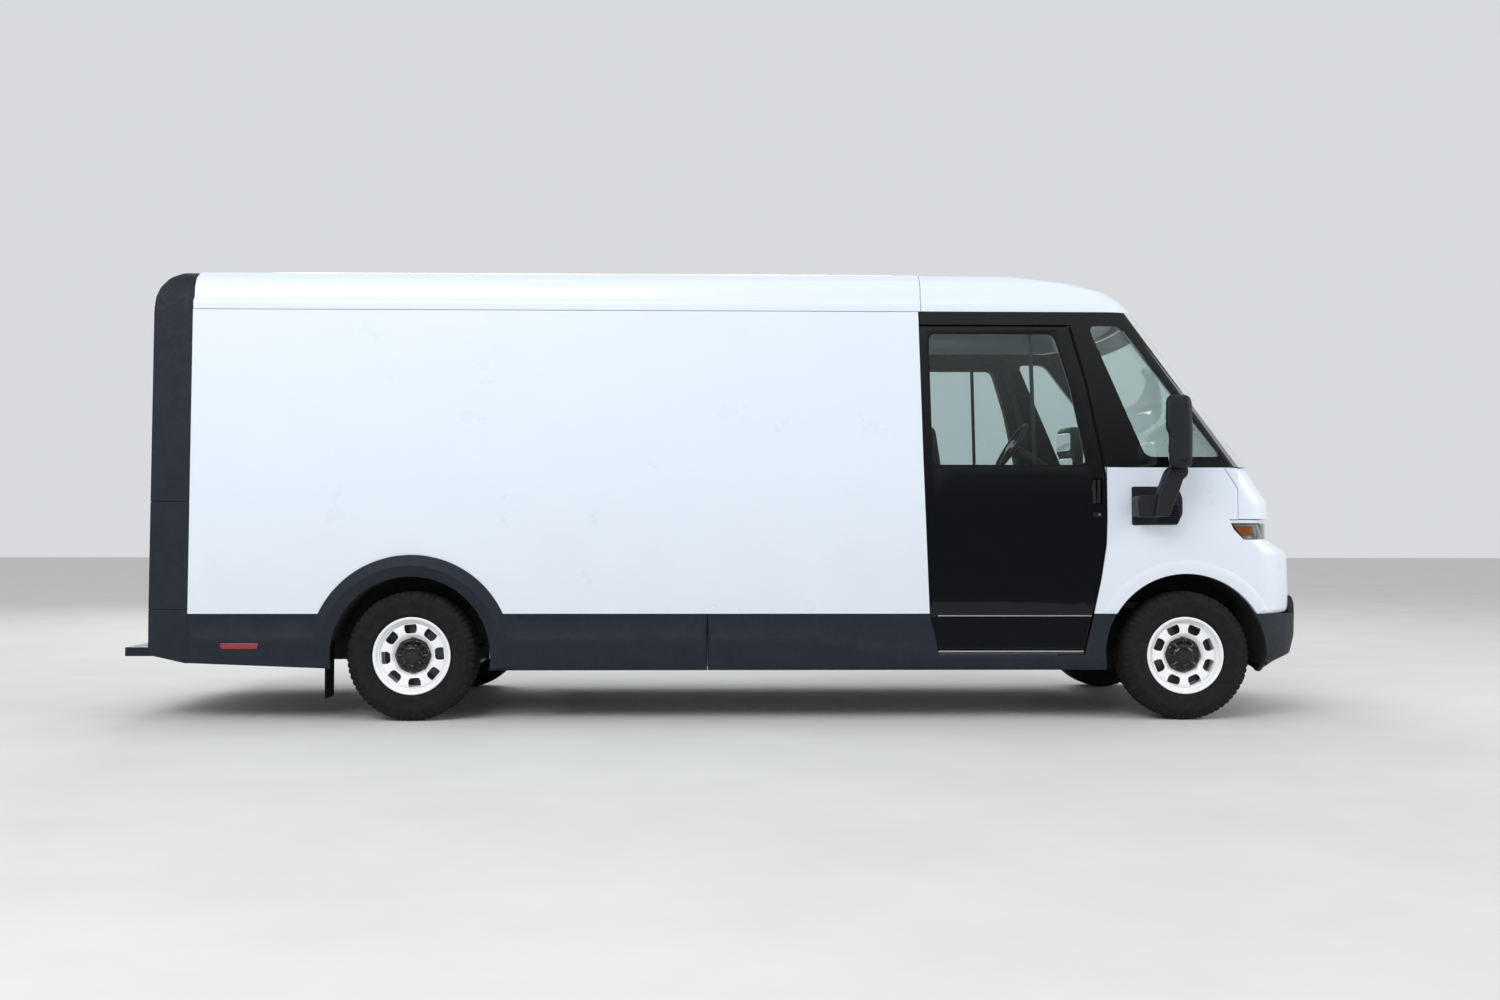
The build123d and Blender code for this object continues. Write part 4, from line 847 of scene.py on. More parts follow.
# %% Front moulding and hood
ARCH, LIP_REACH = 0.495, 0.085
NOSE_TABLE = [(0.643, 0.794, 0.280, 3.0), (0.649, 0.810, 0.292, 3.0), (0.668, 0.824, 0.300, 3.0),
              (0.786, 0.828, 0.300, 3.0), (1.005, 0.820, 0.300, 3.0), (1.055, 0.747, 0.220, 3.0),
              (1.089, 0.696, 0.180, 3.0), (1.211, 0.702, 0.180, 3.0), (1.316, 0.699, 0.180, 3.0),
              (1.366, 0.662, 0.180, 3.0), (1.525, 0.560, 0.180, 3.0)]
DOOR_EDGE = [(-475, 1540), (-475, 1214), (-481, 1060), (-514, 857), (-562, 643), (-562, 600)]
HOOD_OPENING = [(349, 1089), (290, 1150), (262, 1211), (316, 1211), (316, 1600), (1000, 1600), (1000, 1089)]
front_moulding = shell("front_moulding", NOSE_TABLE, 0.035, -0.62, WHITE, stands_for="fenders nose_panel",
                       soft=0.022)
cut(front_moulding, prism(from_front([(-900, 600), (-900, 1540), *DOOR_EDGE])))
cut(front_moulding, prism(from_front(HOOD_OPENING)))
clear_arches(front_moulding, ARCH, 0.55)
FLAP_X, FLAP_Z, FLAP_REACH = 0.060, 1.060, 0.099
flap_hole = soften([(FRONT_X + FLAP_X + a * FLAP_REACH, FLAP_Z + b * FLAP_REACH)
                    for a, b in ((-1, -1), (1, -1), (1, 1), (-1, 1))], 0.018, 4, True)
cut(front_moulding, prism(flap_hole, 0.9))
tidy_shading(front_moulding)

HOOD_TABLE = [(1.214, 0.702, 0.180, 3.0), (1.316, 0.699, 0.180, 3.0), (1.366, 0.662, 0.180, 3.0),
              (1.522, 0.561, 0.180, 3.0)]
shell("hood_panel", HOOD_TABLE, 0.030, 0.319, WHITE, stands_for="hood", soft=0.026, round_mm=2.5)


def arch_lip(x, z):
    """Swelling of the fender round its arch, following the turn of the nose."""
    swell = sin(pi * min(1.0, max(0.0, (hypot(x - FRONT_X, z - AXLE_Z) - ARCH) / LIP_REACH)))
    turned = max(0.0, x - FRONT_X - 0.400)
    return side_y(z) - 0.001 + 0.0055 * swell - (0.3 - sqrt(0.09 - turned * turned))


lip_outline = []
for radius, way in ((ARCH + 0.002, 1), (ARCH + LIP_REACH, -1)):
    end = circle_angle(radius, 0.646)
    lip_outline += arc((FRONT_X, AXLE_Z), radius, *(180 - end, end)[::way], 64)
pair(pressed, "arch_lip", lip_outline, arch_lip, 0.006, WHITE, roll=0.002, spacing=0.012)
print("front moulding", len(front_moulding.data.polygons), "faces")

# %% [markdown]
# The bumper is one grained moulding that stands proud of the nose, creased where its face turns under, with
# a lip in front of the nose panel and a slot for cooling air between fine slats.

# %% Bumper
BUMPER_TABLE = [(0.285, 0.660, 0.300, 3.0), (0.300, 0.668, 0.300, 3.0), (0.347, 0.739, 0.300, 3.0),
                (0.392, 0.834, 0.300, 3.0), (0.504, 0.8615, 0.300, 3.0), (0.640, 0.8655, 0.300, 3.0)]
LIP_TABLE = [(0.636, 0.8655, 0.300, 3.0), (0.690, 0.864, 0.300, 3.0), (0.722, 0.857, 0.300, 3.0),
             (0.738, 0.847, 0.300, 3.0), (0.745, 0.838, 0.300, 3.0)]
SLOT_HALF, SLOT_Z = 0.340, (0.400, 0.520)
bumper = shell("front_bumper_moulding", BUMPER_TABLE, 0.040, 0.380, BUMPER, stands_for="front_bumper",
               soft=0.016)
clear_arches(bumper, ARCH - 0.012, 0.6)
cut(bumper, bar("slot_block", (FRONT_X + 0.6, FRONT_X + 1.0), (-SLOT_HALF, SLOT_HALF), SLOT_Z, BUMPER, 0,
                slot=""))
tidy_shading(bumper)
lip = plate("bumper_lip", *(cab_rows(LIP_TABLE, 0.55, depth) for depth in (0.0, 0.036)), BUMPER, round_mm=3)
for y in ((0.90, FAR_Y), (-FAR_Y, -0.90)):
    cut(lip, bar("lip_end", (FRONT_X + 0.4, FRONT_X + 1.0), y, (0.6, 0.8), BUMPER, 0, slot=""))
tidy_shading(lip)
for k in range(5):
    z = SLOT_Z[0] + 0.012 + k * 0.024
    bar(f"bumper_slat_{k}", (FRONT_X + 0.775, FRONT_X + 0.800), (-SLOT_HALF - 0.01, SLOT_HALF + 0.01),
        (z - 0.004, z + 0.004), LINER, 1.5, slot="bumper_grey")
print("bumper done")

# %% [markdown]
# The windshield is laminated glass between black pillars, with a black ceramic border printed on its inner
# face. Pillars and quarter windows wrap round the cab's corner as one gloss black moulding per side. It
# follows the same lofts, and the window and the door's opening are cut out of it.

# %% Windshield and pillars
GLASS_TABLE = [(1.528, 0.537, 0.130, DOME_R), (2.467, -0.156, 0.130, DOME_R)]
SHIELD_HALF, FRIT = 0.930, 0.055
GLASS_LOW, GLASS_HIGH = 1.531, 2.464
BORDER_LOW, BORDER_HIGH = 1.60, 2.38


def on_shield(turn, z, out):
    """Point at a turn about the windshield's own centre line, `out` from its outer face."""
    (z0, nose0, _, _), (z1, nose1, _, _) = GLASS_TABLE
    t = (z - z0) / (z1 - z0)
    centre = FRONT_X + nose0 + (nose1 - nose0) * t - DOME_R
    return centre + (DOME_R + out) * cos(turn), (DOME_R + out) * sin(turn), z


def shield_rows(depth, half, low, high):
    """Grid over the windshield between two heights, half the width each side."""
    reach = asin_safe(half / DOME_R)
    return [[on_shield(reach - 2 * reach * c / 32, low + (high - low) * k / 12, -depth) for c in range(33)]
            for k in range(13)]


def shield_sheet(name, depths, half, low, high, material, **place):
    """Part of the windshield between two depths."""
    plate(name, *(shield_rows(depth, half, low, high) for depth in depths), material, **place)


shield_sheet("windshield_glass", (0.001, 0.007), SHIELD_HALF - 0.003, GLASS_LOW, GLASS_HIGH, WINDOW_GLASS,
             stands_for="windshield")
for name, low, high in (("top", BORDER_HIGH, GLASS_HIGH), ("base", GLASS_LOW, BORDER_LOW)):
    shield_sheet(f"windshield_border_{name}", (0.008, 0.010), SHIELD_HALF - 0.004, low, high, GLOSS_BLACK)
for label, side in SIDES:
    edge = [[p for p in row if side * p[1] > SHIELD_HALF - FRIT - 0.03]
            for row in shield_rows(0.0082, SHIELD_HALF - 0.004, BORDER_LOW, BORDER_HIGH)]
    plate(f"windshield_border_{label}", edge, [[(x - 0.002, y, z) for x, y, z in row] for row in edge],
          GLOSS_BLACK)

PILLAR_FRONT = [(-1612, 2480), (-1612, 2391), (-692, 2391), (-592, 2041), (-502, 1606), (-484, 1520)]
QUARTER = [(-586, 2385), (-391, 2385), (224, 1590), (-241, 1590)]
quarter_outline = soften(from_front(QUARTER), 0.050, 5, True)
for label, side in SIDES:
    pillar = shell(f"pillar_moulding_{label}", GLASS_TABLE, 0.040, -1.75, GLOSS_BLACK, SHIELD_HALF,
                   stands_for="cab_pillars" if side > 0 else "", side=side)
    span = (0.80, FAR_Y) if side > 0 else (-FAR_Y, -0.80)
    cut(pillar, prism(from_front([(-1900, 1500), (-1900, 2480), *PILLAR_FRONT, (-484, 1500)]), *span))
    cut(pillar, prism(quarter_outline, *span))
    tidy_shading(pillar)
pair(pressed, "quarter_glass", inset(anticlockwise(quarter_outline), 0.0015), lambda x, z: side_y(z) - 0.001,
     0.006, WINDOW_GLASS, roll=0.001, spacing=0.2, stands_for="quarter_windows")
# A pale strip at each corner of the windshield, in the headliner board finish, is a painted reflection: it
# stands in for the sky mirrored in the glass at its curved corner.
sky_reflection_rows = []
for k in range(13):
    z, nose = (low + (high - low) * k / 12 for low, high in list(zip(*GLASS_TABLE))[:2])
    corner = plan(FRONT_X + nose, side_y(z), 0.130, DOME_R, FRONT_X - 1.0, y_stop=0.90, steps=(4, 24, 30))
    sky_reflection_rows.append([(x, y, z) for x, y in corner[12:28]])
pair(plate, "windshield_trim", *([[(x + out, y + out, z) for x, y, z in row] for row in sky_reflection_rows]
                                 for out in (0.0015, -0.003)), HEADLINER)
print("greenhouse done")

# %% [markdown]
# Both roofs have the same edge: an upright band over the seam, a ledge, a cove and a rounded shoulder up to
# the crown. The cargo roof runs that section straight along the van. The cab roof starts from it and sweeps
# down to the windshield, so its table says for each height how far forward it reaches and how wide it is.

# %% Roofs
PAINT_REAR_X = REAR_X - 1.318
CAB_ROOF_REAR = -1.602
ROOF_HALF = [(side_y(SEAM_Z), SEAM_Z + 0.003), (side_y(2.522) + 0.002, 2.519), (1.034, 2.545), (1.028, 2.609),
             (1.004, 2.662), (0.930, 2.712), (0.640, 2.743), (0.300, 2.752)]
CEILING = [(0.966, 2.470), (0.957, 2.600), (0.880, 2.668), (0.450, 2.690)]


def roof_section(points, crown, radius):
    """Softened half section, its crown and the mirror image."""
    half = soften([*points, (0.0, crown)], radius, 5)
    return half + [(-y, z) for y, z in reversed(half[:-1])]


section = roof_section(ROOF_HALF, 2.7548, 0.012)
ceiling = roof_section(CEILING, 2.705, 0.02)
ceiling = [ceiling[round(k * (len(ceiling) - 1) / (len(section) - 1))] for k in range(len(section))]
roof_x = [PAINT_REAR_X + 0.002, FRONT_X + CAB_ROOF_REAR - 0.0015]
plate("cargo_roof_skin", *([[(x, y, z) for y, z in line] for x in roof_x] for line in (section, ceiling)),
      WHITE, stands_for="cargo_roof")

CAB_ROOF_TABLE = [(2.470, -0.158, 1.0567, 1.0567), (2.519, -0.196, 1.0560, 1.0575),
                  (2.545, -0.222, 1.048, 1.034), (2.609, -0.318, 1.022, 1.028), (2.662, -0.500, 0.985, 1.004),
                  (2.706, -0.800, 0.930, 0.936), (2.743, -1.250, 0.700, 0.640)]
CROWN_RISE = 0.0115


def cab_roof_rows(depth, drop):
    """Rows up the cab roof, then over its crown."""
    rows = []
    for z, nose, half_front, half_back in soften(CAB_ROOF_TABLE, 0.016, 5):
        fall = 0.0 if z < 2.50 else drop
        outline = plan(FRONT_X + nose - depth, half_front - depth, 0.200 - depth, DOME_R - depth,
                       FRONT_X + CAB_ROOF_REAR + 0.0015, half_back - depth)
        rows.append([(x, y, z - fall) for x, y in outline])
    for k in range(1, 7):
        share = 1 - k / 6
        z = CAB_ROOF_TABLE[-1][0] + CROWN_RISE * (1 - share * share) - drop
        rows.append([(x, y * share, z) for x, y, _ in rows[len(rows) - k]])
    return rows


cab_skin = plate("cab_roof_skin", cab_roof_rows(0.0, 0.0), cab_roof_rows(0.055, 0.040), WHITE,
                 stands_for="cab_roof", sharp=30)
crown = bmesh.new()
crown.from_mesh(cab_skin.data)
wall = [face for face in crown.faces if all(abs(vertex.co.y) < 1e-4 for vertex in face.verts)]
bmesh.ops.delete(crown, geom=wall, context="FACES_ONLY")
crown.to_mesh(cab_skin.data)
crown.free()
face_out(cab_skin.data)
tidy_shading(cab_skin, 30)
print("roofs done, faces taken from the cab roof's middle:", len(wall))

# %% [markdown]
# Each side door is a flat gloss black panel 46 mm thick that slides back between the cargo side's skin and
# lining. Its window has a rubber gasket and an upright bar where the sliding pane ends. A pocket with a
# pull handle and a lock sit by the front edge, an aluminium strip crosses it low down, and the part below
# it is a finely grained kick panel. All of it rides on the door, so it goes along when the door opens.

# %% Side doors
DOOR_DEPTH = 0.020
DOOR_THICK = 0.046
POCKET_DEPTH = 0.016
DOOR_REAR = -1676
DOOR_FRONT = [(-699, 2385), (-599, 2041), (-508, 1606), (-484, 1456), (-481, 1214), (-487, 1064), (-520, 860),
              (-569, 643), (-621, 430)]
WINDOW = [(-1558, 2342), (-788, 2342), (-691, 2028), (-587, 1535), (-1537, 1535)]
door_outline = soften(from_front([(DOOR_REAR, 2385), *DOOR_FRONT, (DOOR_REAR, 430)]), 0.012, 3, True)
window_outline = soften(from_front(WINDOW), 0.050, 5, True)
pocket_edge = soften(from_front([(-568, 1294), (-502, 1294), (-498, 1466), (-562, 1466)]), 0.014, 4, True)
pocket_floor = inset(anticlockwise(pocket_edge), 0.007)
ring = anticlockwise(window_outline)
door_line = [DOOR_FRONT[:-1], DOOR_FRONT[-2::-1]]
ON_DOOR = "door_{}"


def door_face(x, z):
    """Outer face of a door, sunk inside the handle's pocket."""
    sunk = inside(x, z, pocket_floor) or (x, z) in pocket_floor
    return side_y(z) - DOOR_DEPTH - (POCKET_DEPTH if sunk else 0.0)


def on_side(depth):
    """Surface parallel to the body's side, depth inside the paint."""
    return lambda x, z: side_y(z) - depth


def beside_line(forward, rearward):
    """Strip along the door's front line between two distances from it, in millimetres."""
    return [(x + move, z) for line, move in zip(door_line, (forward, rearward)) for x, z in line]


pair(pressed, "door_panel", door_outline, door_face, DOOR_THICK, GLOSS_BLACK, [window_outline], 0.004, 0.15,
     [pocket_edge + pocket_edge[:1], pocket_floor + pocket_floor[:1]], body=ON_DOOR, stands_for="door_{}")
pair(pressed, "door_glass", inset(ring, 0.001), on_side(DOOR_DEPTH + 0.002), 0.006, WINDOW_GLASS, roll=0.001,
     body=ON_DOOR, stands_for="door_window_{}")
pair(pressed, "door_gasket", inset(ring, -0.005), on_side(DOOR_DEPTH - 0.003), 0.008, SEAL,
     [inset(ring, 0.006)], 0.003, body=ON_DOOR)
for name, corners, radius, depth, thick, material, roll, body in (
        ("window_bar", [(-944, 2338), (-920, 2338), (-898, 1539), (-920, 1539)], 0, DOOR_DEPTH + 0.0085,
         0.014, INTERIOR, 0.004, ON_DOOR),
        ("strip", [(-1505, 626), (-575, 626), (-573, 633), (-1505, 633)], 0, DOOR_DEPTH - 0.0025, 0.003,
         ALUMINIUM, 0.001, ON_DOOR),
        ("kick_panel", [(-1640, 436), (-626, 436), (-581, 622), (-1640, 622)], 0, DOOR_DEPTH - 0.0015, 0.002,
         KICK_BLACK, 0.0008, ON_DOOR),
        ("handle", [(-533, 1308), (-515, 1308), (-511, 1452), (-529, 1452)], 0.007, DOOR_DEPTH + 0.001, 0.010,
         MIRROR_SHELL, 0.003, ON_DOOR),
        ("lock", [(-562, 1226), (-506, 1226), (-506, 1252), (-562, 1252)], 0.008, DOOR_DEPTH - 0.003, 0.004,
         MIRROR_SHELL, 0.001, ON_DOOR),
        ("sill", [(-1504, 411), (-627, 411), (-629, 421), (-1504, 421)], 0, 0.004, 0.020, ALUMINIUM, 0.003,
         "root"),
        ("jamb", beside_line(-18, 22), 0, 0.072, 0.010, INTERIOR, 0.002, "root"),
        ("header", [(-1600, 2366), (-690, 2366), (-690, 2410), (-1600, 2410)], 0, 0.072, 0.010, INTERIOR,
         0.002, "root"),
        ("seal", beside_line(9, 3), 0, 0.012, 0.020, SEAL, 0.002, "root")):
    outline = soften(from_front(corners), radius, 3, True) if radius else from_front(corners)
    pair(pressed, f"door_{name}", outline, on_side(depth), thick, material, roll=roll, body=body)
pair(pressed, "door_lock_barrel", arc((FRONT_X - 0.520, 1.239), 0.007, 0, 345, 23),
     on_side(DOOR_DEPTH - 0.005), 0.003, CASTING, roll=0.001, slot="mirror_black", body=ON_DOOR)
pair(bar, "door_shoe", (FRONT_X - 1.480, FRONT_X - 0.760), (1.0510, 1.0630), (0.4223, 0.4310), SEAL,
     body=ON_DOOR)
print("doors done")

# %% [markdown]
# The lower body is clad in grained polypropylene. Along each side its upper band is scooped under the paint
# and meets a flat lower band at a crease, which dips ahead of the door and runs on below it. Round the rear
# wheel a flare stands out, creased half way. Both come from one height rule laid over the outline, with the
# creases handed to the triangulation so that they stay sharp.

# %% Skirts and flares
SKIRT_TOP, SKIRT_BOTTOM = 0.640, 0.306
REAR_ARCH, FLARE_CREASE, FLARE_EDGE = 0.476, 0.541, 0.606
CREASE_Y, FLARE_Y = 1.114, 1.123
SKIRT_JOINT_X = REAR_X + 1.770
CREASE_STATIONS = [(-9.0, 0.500), (FRONT_X - 2.255, 0.488), (FRONT_X - 1.744, 0.374), (9.0, 0.374)]


def crease_z(x):
    """Height of the skirt's crease along the van."""
    for (x0, z0), (x1, z1) in zip(CREASE_STATIONS, CREASE_STATIONS[1:]):
        if x <= x1:
            return z0 + (z1 - z0) * (x - x0) / (x1 - x0)
    return CREASE_STATIONS[-1][1]


def cladding_face(x, z):
    """Outer face of skirt and flare."""
    crease = crease_z(x)
    if z > crease:
        t = min(1.0, (z - crease) / (SKIRT_TOP - crease))
        face = CREASE_Y - 0.016 * t - 0.007 * sin(pi * t)
    else:
        turned_in = max(0.0, (0.325 - z) / 0.02) ** 2
        face = CREASE_Y - 0.004 * (crease - z) / (crease - SKIRT_BOTTOM) - 0.010 * turned_in
    r = hypot(x - REAR_X, z - AXLE_Z)
    if r < FLARE_CREASE:
        return max(face, FLARE_Y - 0.015 + 0.015 * (r - REAR_ARCH) / (FLARE_CREASE - REAR_ARCH))
    if r <= FLARE_EDGE:
        return max(face, FLARE_Y - 0.021 * (r - FLARE_CREASE) / (FLARE_EDGE - FLARE_CREASE))
    return face


def crease_line(start, step, count):
    """Points along the skirt's crease."""
    return [(start + step * k, crease_z(start + step * k)) for k in range(count)]


wheel_centre = (REAR_X, AXLE_Z)
flare_top = circle_angle(FLARE_EDGE, SKIRT_TOP)
rear_outline = [(PAINT_REAR_X, 0.352), *arc(wheel_centre, REAR_ARCH, 180 - circle_angle(REAR_ARCH, 0.318),
                                            circle_angle(REAR_ARCH, SKIRT_BOTTOM), 72),
                (SKIRT_JOINT_X - 0.0015, SKIRT_BOTTOM), (SKIRT_JOINT_X - 0.0015, SKIRT_TOP),
                *arc(wheel_centre, FLARE_EDGE, flare_top, 180 - flare_top, 60), (PAINT_REAR_X, SKIRT_TOP)]
rear_creases = [arc(wheel_centre, FLARE_CREASE, 180 - circle_angle(FLARE_CREASE, 0.345),
                    circle_angle(FLARE_CREASE, 0.322), 72),
                [(PAINT_REAR_X + 0.02 + 0.05 * k, 0.500) for k in range(14)],
                crease_line(REAR_X + 0.62, 0.05, 23)]
front_outline = [(SKIRT_JOINT_X + 0.0015, SKIRT_BOTTOM), (SKIRT_JOINT_X + 0.0015, SKIRT_TOP)]
front_outline += from_front([(-1556, 640), (-1519, 488), (-1506, 396), (-622, 396), (-600, 488), (-562, 640)])
front_outline += arc((FRONT_X, AXLE_Z), ARCH, 180 - circle_angle(ARCH, SKIRT_TOP),
                     180 - circle_angle(ARCH, SKIRT_BOTTOM), 20)
front_creases = [crease_line(REAR_X + 1.79, 0.04, int((FRONT_X - 0.53 - REAR_X - 1.79) / 0.04))]
MARKER = soften(from_front([(-1127, 468), (-891, 468), (-903, 434), (-1115, 434)], REAR_X), 0.008, 3, True)
for name, outline, thick, holes, creases in (("rear", rear_outline, 0.024, [MARKER], rear_creases),
                                             ("front", front_outline, 0.010, [], front_creases)):
    pair(pressed, f"{name}_skirt_moulding", outline, cladding_face, thick, CLADDING, holes, 0.003, 0.022,
         creases, stands_for=f"{name}_skirts", sharp=24)
pair(pressed, "side_marker", inset(anticlockwise(MARKER), 0.001), lambda x, z: cladding_face(x, z) + 0.001,
     0.010, RED_LENS, roll=0.003, spacing=0.04)
print("cladding done")

# %% [markdown]
# Some solids have the right form already and only want real edges. `dress` copies such a node's mesh, joins
# its coplanar triangles, cuts seams where they show and bevels what is left. The black surround at the rear
# is made of three mouldings, so two fine seams run round it.

# %% Dressed solids
REAR_FACE_X = REAR_X - 1.548
SEAM_HALF = 0.0018


def dress(node, name, material, round_mm=3.0, cuts=(), body="root", slot=None):
    """Copy of a solid with clean faces, cut seams and rounded edges."""
    shape = bmesh.new()
    shape.from_mesh(NODES[node].data)
    bmesh.ops.remove_doubles(shape, verts=shape.verts, dist=2e-5)
    bmesh.ops.dissolve_limit(shape, angle_limit=radians(0.5), verts=shape.verts, edges=shape.edges)
    points = [tuple(v.co) for v in shape.verts]
    shape.verts.index_update()
    faces = [tuple(v.index for v in face.verts) for face in shape.faces]
    shape.free()
    piece = make(name, points, faces, material, body, slot, node)
    for x, y, z in cuts:
        cut(piece, bar("seam", x, y, z, material, 0, slot=""))
    tidy_shading(piece, 30)
    if round_mm:
        round_edges(piece, round_mm, 50)


seams = []
for z in (1.312, 0.670):
    for side in (1, -1):
        for near_y, stop_x in ((side_y(z) - 0.004, PAINT_REAR_X + 0.01), (0.86, REAR_FACE_X + 0.004)):
            seams.append(((REAR_FACE_X - 0.01, stop_x), sorted((side * near_y, side * 1.2)),
                          (z - SEAM_HALF, z + SEAM_HALF)))
dress("rear_surround", "rear_surround_moulding", CLADDING, 0, seams)
print("rear surround dressed, seams:", len(seams))

# %% [markdown]
# The mirrors stand on arms that come out of a plate on the fender. The plate has a fine grille at its lower
# front corner. Arm and head are lofts of rounded boxes. The head's rear face carries two panes, a flat one
# above and a wide-angle one below, and a small repeater lamp sits low on its front.

# %% Mirrors
HEAD = [(1.514, -0.182, -0.072, 0.030, 0.022), (1.524, -0.196, -0.058, 0.010, 0.030),
        (1.560, -0.202, -0.053, 0.0, 0.034), (1.722, -0.203, -0.051, 0.0, 0.034),
        (1.737, -0.219, -0.051, 0.0, 0.034), (1.885, -0.219, -0.055, 0.0, 0.034),
        (1.922, -0.212, -0.062, 0.006, 0.030), (1.937, -0.190, -0.082, 0.026, 0.020)]
HEAD_Y = (1.175, 1.4045)
HEAD_TOE = 0.33
ARM_BASE = [(-339, 1351), (-335, 1222), (-200, 1222), (-200, 1351)]
ARM = [(-228, 1356), (-250, 1225), (-162, 1225), (-153, 1242), (-99, 1376), (-76, 1444), (-47, 1471),
       (-43, 1520), (-152, 1520), (-174, 1494), (-211, 1403)]
NECK = [(-150, 1500), (-60, 1500), (-64, 1530), (-146, 1530)]
MIRROR_LAMP = [(-132, 1545), (-84, 1545), (-84, 1560), (-132, 1560)]
PLATE = soften(from_front([(-330, 1409), (-330, 1176), (-54, 1178), (-22, 1246), (-22, 1341), (-46, 1398),
                           (-60, 1409)]), 0.012, 4, True)
STUD_PITCH, STUD_R = 0.0125, 0.0048


def rounded_box(x, y, radius, steps=5):
    """Plan outline of a box with round corners."""
    corners = ((x[1], y[1], 0), (x[0], y[1], 90), (x[0], y[0], 180), (x[1], y[0], 270))
    outline = []
    for cx, cy, start in corners:
        centre = (cx - radius if cx == x[1] else cx + radius, cy - radius if cy == y[1] else cy + radius)
        outline += arc(centre, radius, start, start + 90, steps)
    return outline


def stack(x, y, radius, stations):
    """Rows of rounded boxes; each station gives its height and how far its edges are pulled in."""
    return [[(a, b, z) for a, b in rounded_box((x[0] + p, x[1] - p), (y[0] + p, y[1] - p), radius)]
            for z, p in stations]


def toed(x, y, z, front):
    """Point of the head, its rear face turned towards the driver."""
    return x + (HEAD_Y[1] - y) * HEAD_TOE * min(1.0, max(0.0, (FRONT_X + front - x) / 0.15)), y, z


def slab(name, outline, y0, y1, material, round_mm, **place):
    """Block with a side-view outline and rounded edges."""
    count = len(outline)
    points = [(x, y, z) for y in (y0, y1) for x, z in outline]
    faces = [tuple(range(count)), tuple(range(2 * count - 1, count - 1, -1))]
    faces += [(k, (k + 1) % count, count + (k + 1) % count, count + k) for k in range(count)]
    return make(name, points, faces, material, round_mm=round_mm, **place)


head_rows = [[toed(x, y, z, x1) for x, y in rounded_box((FRONT_X + x0, FRONT_X + x1),
                                                        (HEAD_Y[0] + pull, HEAD_Y[1] - pull), r)]
             for z, x0, x1, pull, r in soften(HEAD, 0.02, 3)]
pair(skin, "mirror_head", head_rows, MIRROR_SHELL, stands_for="mirror_heads")
for pane, low, high, x in (("upper", 1.760, 1.890, -0.2195), ("lower", 1.555, 1.700, -0.2035)):
    outline = rounded_box((1.198, 1.382), (low, high), 0.018)
    rows = [[(FRONT_X + x + (HEAD_Y[1] - y) * HEAD_TOE - depth, y, z) for y, z in inset(outline, pull)]
            for depth, pull in ((-0.004, 0.0), (0.0002, 0.0), (0.0012, 0.002))]
    pair(skin, f"mirror_pane_{pane}", rows, MIRROR_GLASS)
for name, corners, y0, y1, round_mm, node in (("arm_base", ARM_BASE, 1.100, 1.268, 16, "mirror_arms"),
                                              ("arm", ARM, 1.197, 1.289, 16, ""),
                                              ("neck", NECK, 1.215, 1.275, 4, "")):
    pair(slab, f"mirror_{name}", from_front(corners), y0, y1, MIRROR_SHELL, round_mm, stands_for=node)
pair(pressed, "mirror_plate", PLATE, on_side(-0.008), 0.014, MIRROR_SHELL, roll=0.004, spacing=0.2)
studs, faces = [], []
for row in range(9):
    for column in range(10):
        x = FRONT_X - 0.170 + column * STUD_PITCH + (row % 2) * STUD_PITCH / 2
        z = 1.196 + row * STUD_PITCH
        if inside(x + 0.008, z, PLATE) and x - FRONT_X >= -0.20 + row * 0.010:
            start = len(studs)
            studs += [(px, side_y(z) + out, pz) for out in (0.006, 0.0115)
                      for px, pz in arc((x, z), STUD_R, 0, 300, 5)]
            faces += grid_faces(2, 6, close_columns=True, first=start)
            faces += [tuple(range(start + 6, start + 12)), tuple(range(start, start + 6))]
pair(make, "mirror_grille", studs, faces, GLOSS_BLACK, slot="mirror_black")
pair(pressed, "mirror_lamp", soften(from_front(MIRROR_LAMP), 0.006, 3, True), lambda x, z: 1.4046, 0.004,
     LENS, roll=0.001)
print("mirrors done")

# %% [markdown]
# A headlamp is a box behind a clear lens that follows the corner: an amber turn signal to the rear, a white
# light guide bent like a bracket, and a dark bowl ahead of it. The lens, guide and backing are strips that
# follow the same plan outline at different depths, and the band between the lamps is gloss black.

# %% Lamps
LAMP_NOSE, LAMP_CORNER, LAMP_BOW = 0.686, 0.180, 3.0
LAMP_INNER_Y = 0.560
LAMP_HALF_Y = side_y(1.15)
lamp_line = plan(FRONT_X + LAMP_NOSE, LAMP_HALF_Y, LAMP_CORNER, LAMP_BOW, FRONT_X + 0.255,
                 y_stop=LAMP_INNER_Y, steps=(12, 14, 20))
reach = [0.0]
for here, there in zip(lamp_line, lamp_line[1:]):
    reach.append(reach[-1] + hypot(there[0] - here[0], there[1] - here[1]))
LAMP_END = reach[-1]


def along_lamp(distance, depth):
    """Point on the lamp's plan line, a distance from its rear end and a depth inside."""
    for k in range(len(reach) - 1):
        if distance <= reach[k + 1] or k == len(reach) - 2:
            t = (distance - reach[k]) / (reach[k + 1] - reach[k])
            a, b = Vector(lamp_line[k]), Vector(lamp_line[k + 1])
            inward = Vector(((b - a).y, -(b - a).x)).normalized()
            point = a + (b - a) * t + inward * depth
            return point.x, point.y


def lamp_strip(name, start, stop, low, high, depth, thickness, material, steps=26, **place):
    """Strip along the lamp's line; start and stop are distances at its lower and its upper edge."""
    grids = []
    for inner in (depth, depth + thickness):
        rows = []
        for k in range(5):
            t = k / 4
            begin, end = (ends[0] + (ends[1] - ends[0]) * t for ends in (start, stop))
            z = low + (high - low) * t
            rows.append([(*along_lamp(begin + (end - begin) * c / steps, inner), z)
                         for c in range(steps + 1)])
        grids.append(rows)
    plate(name, *grids, material, **place)


def to_end(gap):
    """Stop of a strip that ends upright, a gap before the line's inner end."""
    return LAMP_END - gap, LAMP_END - gap


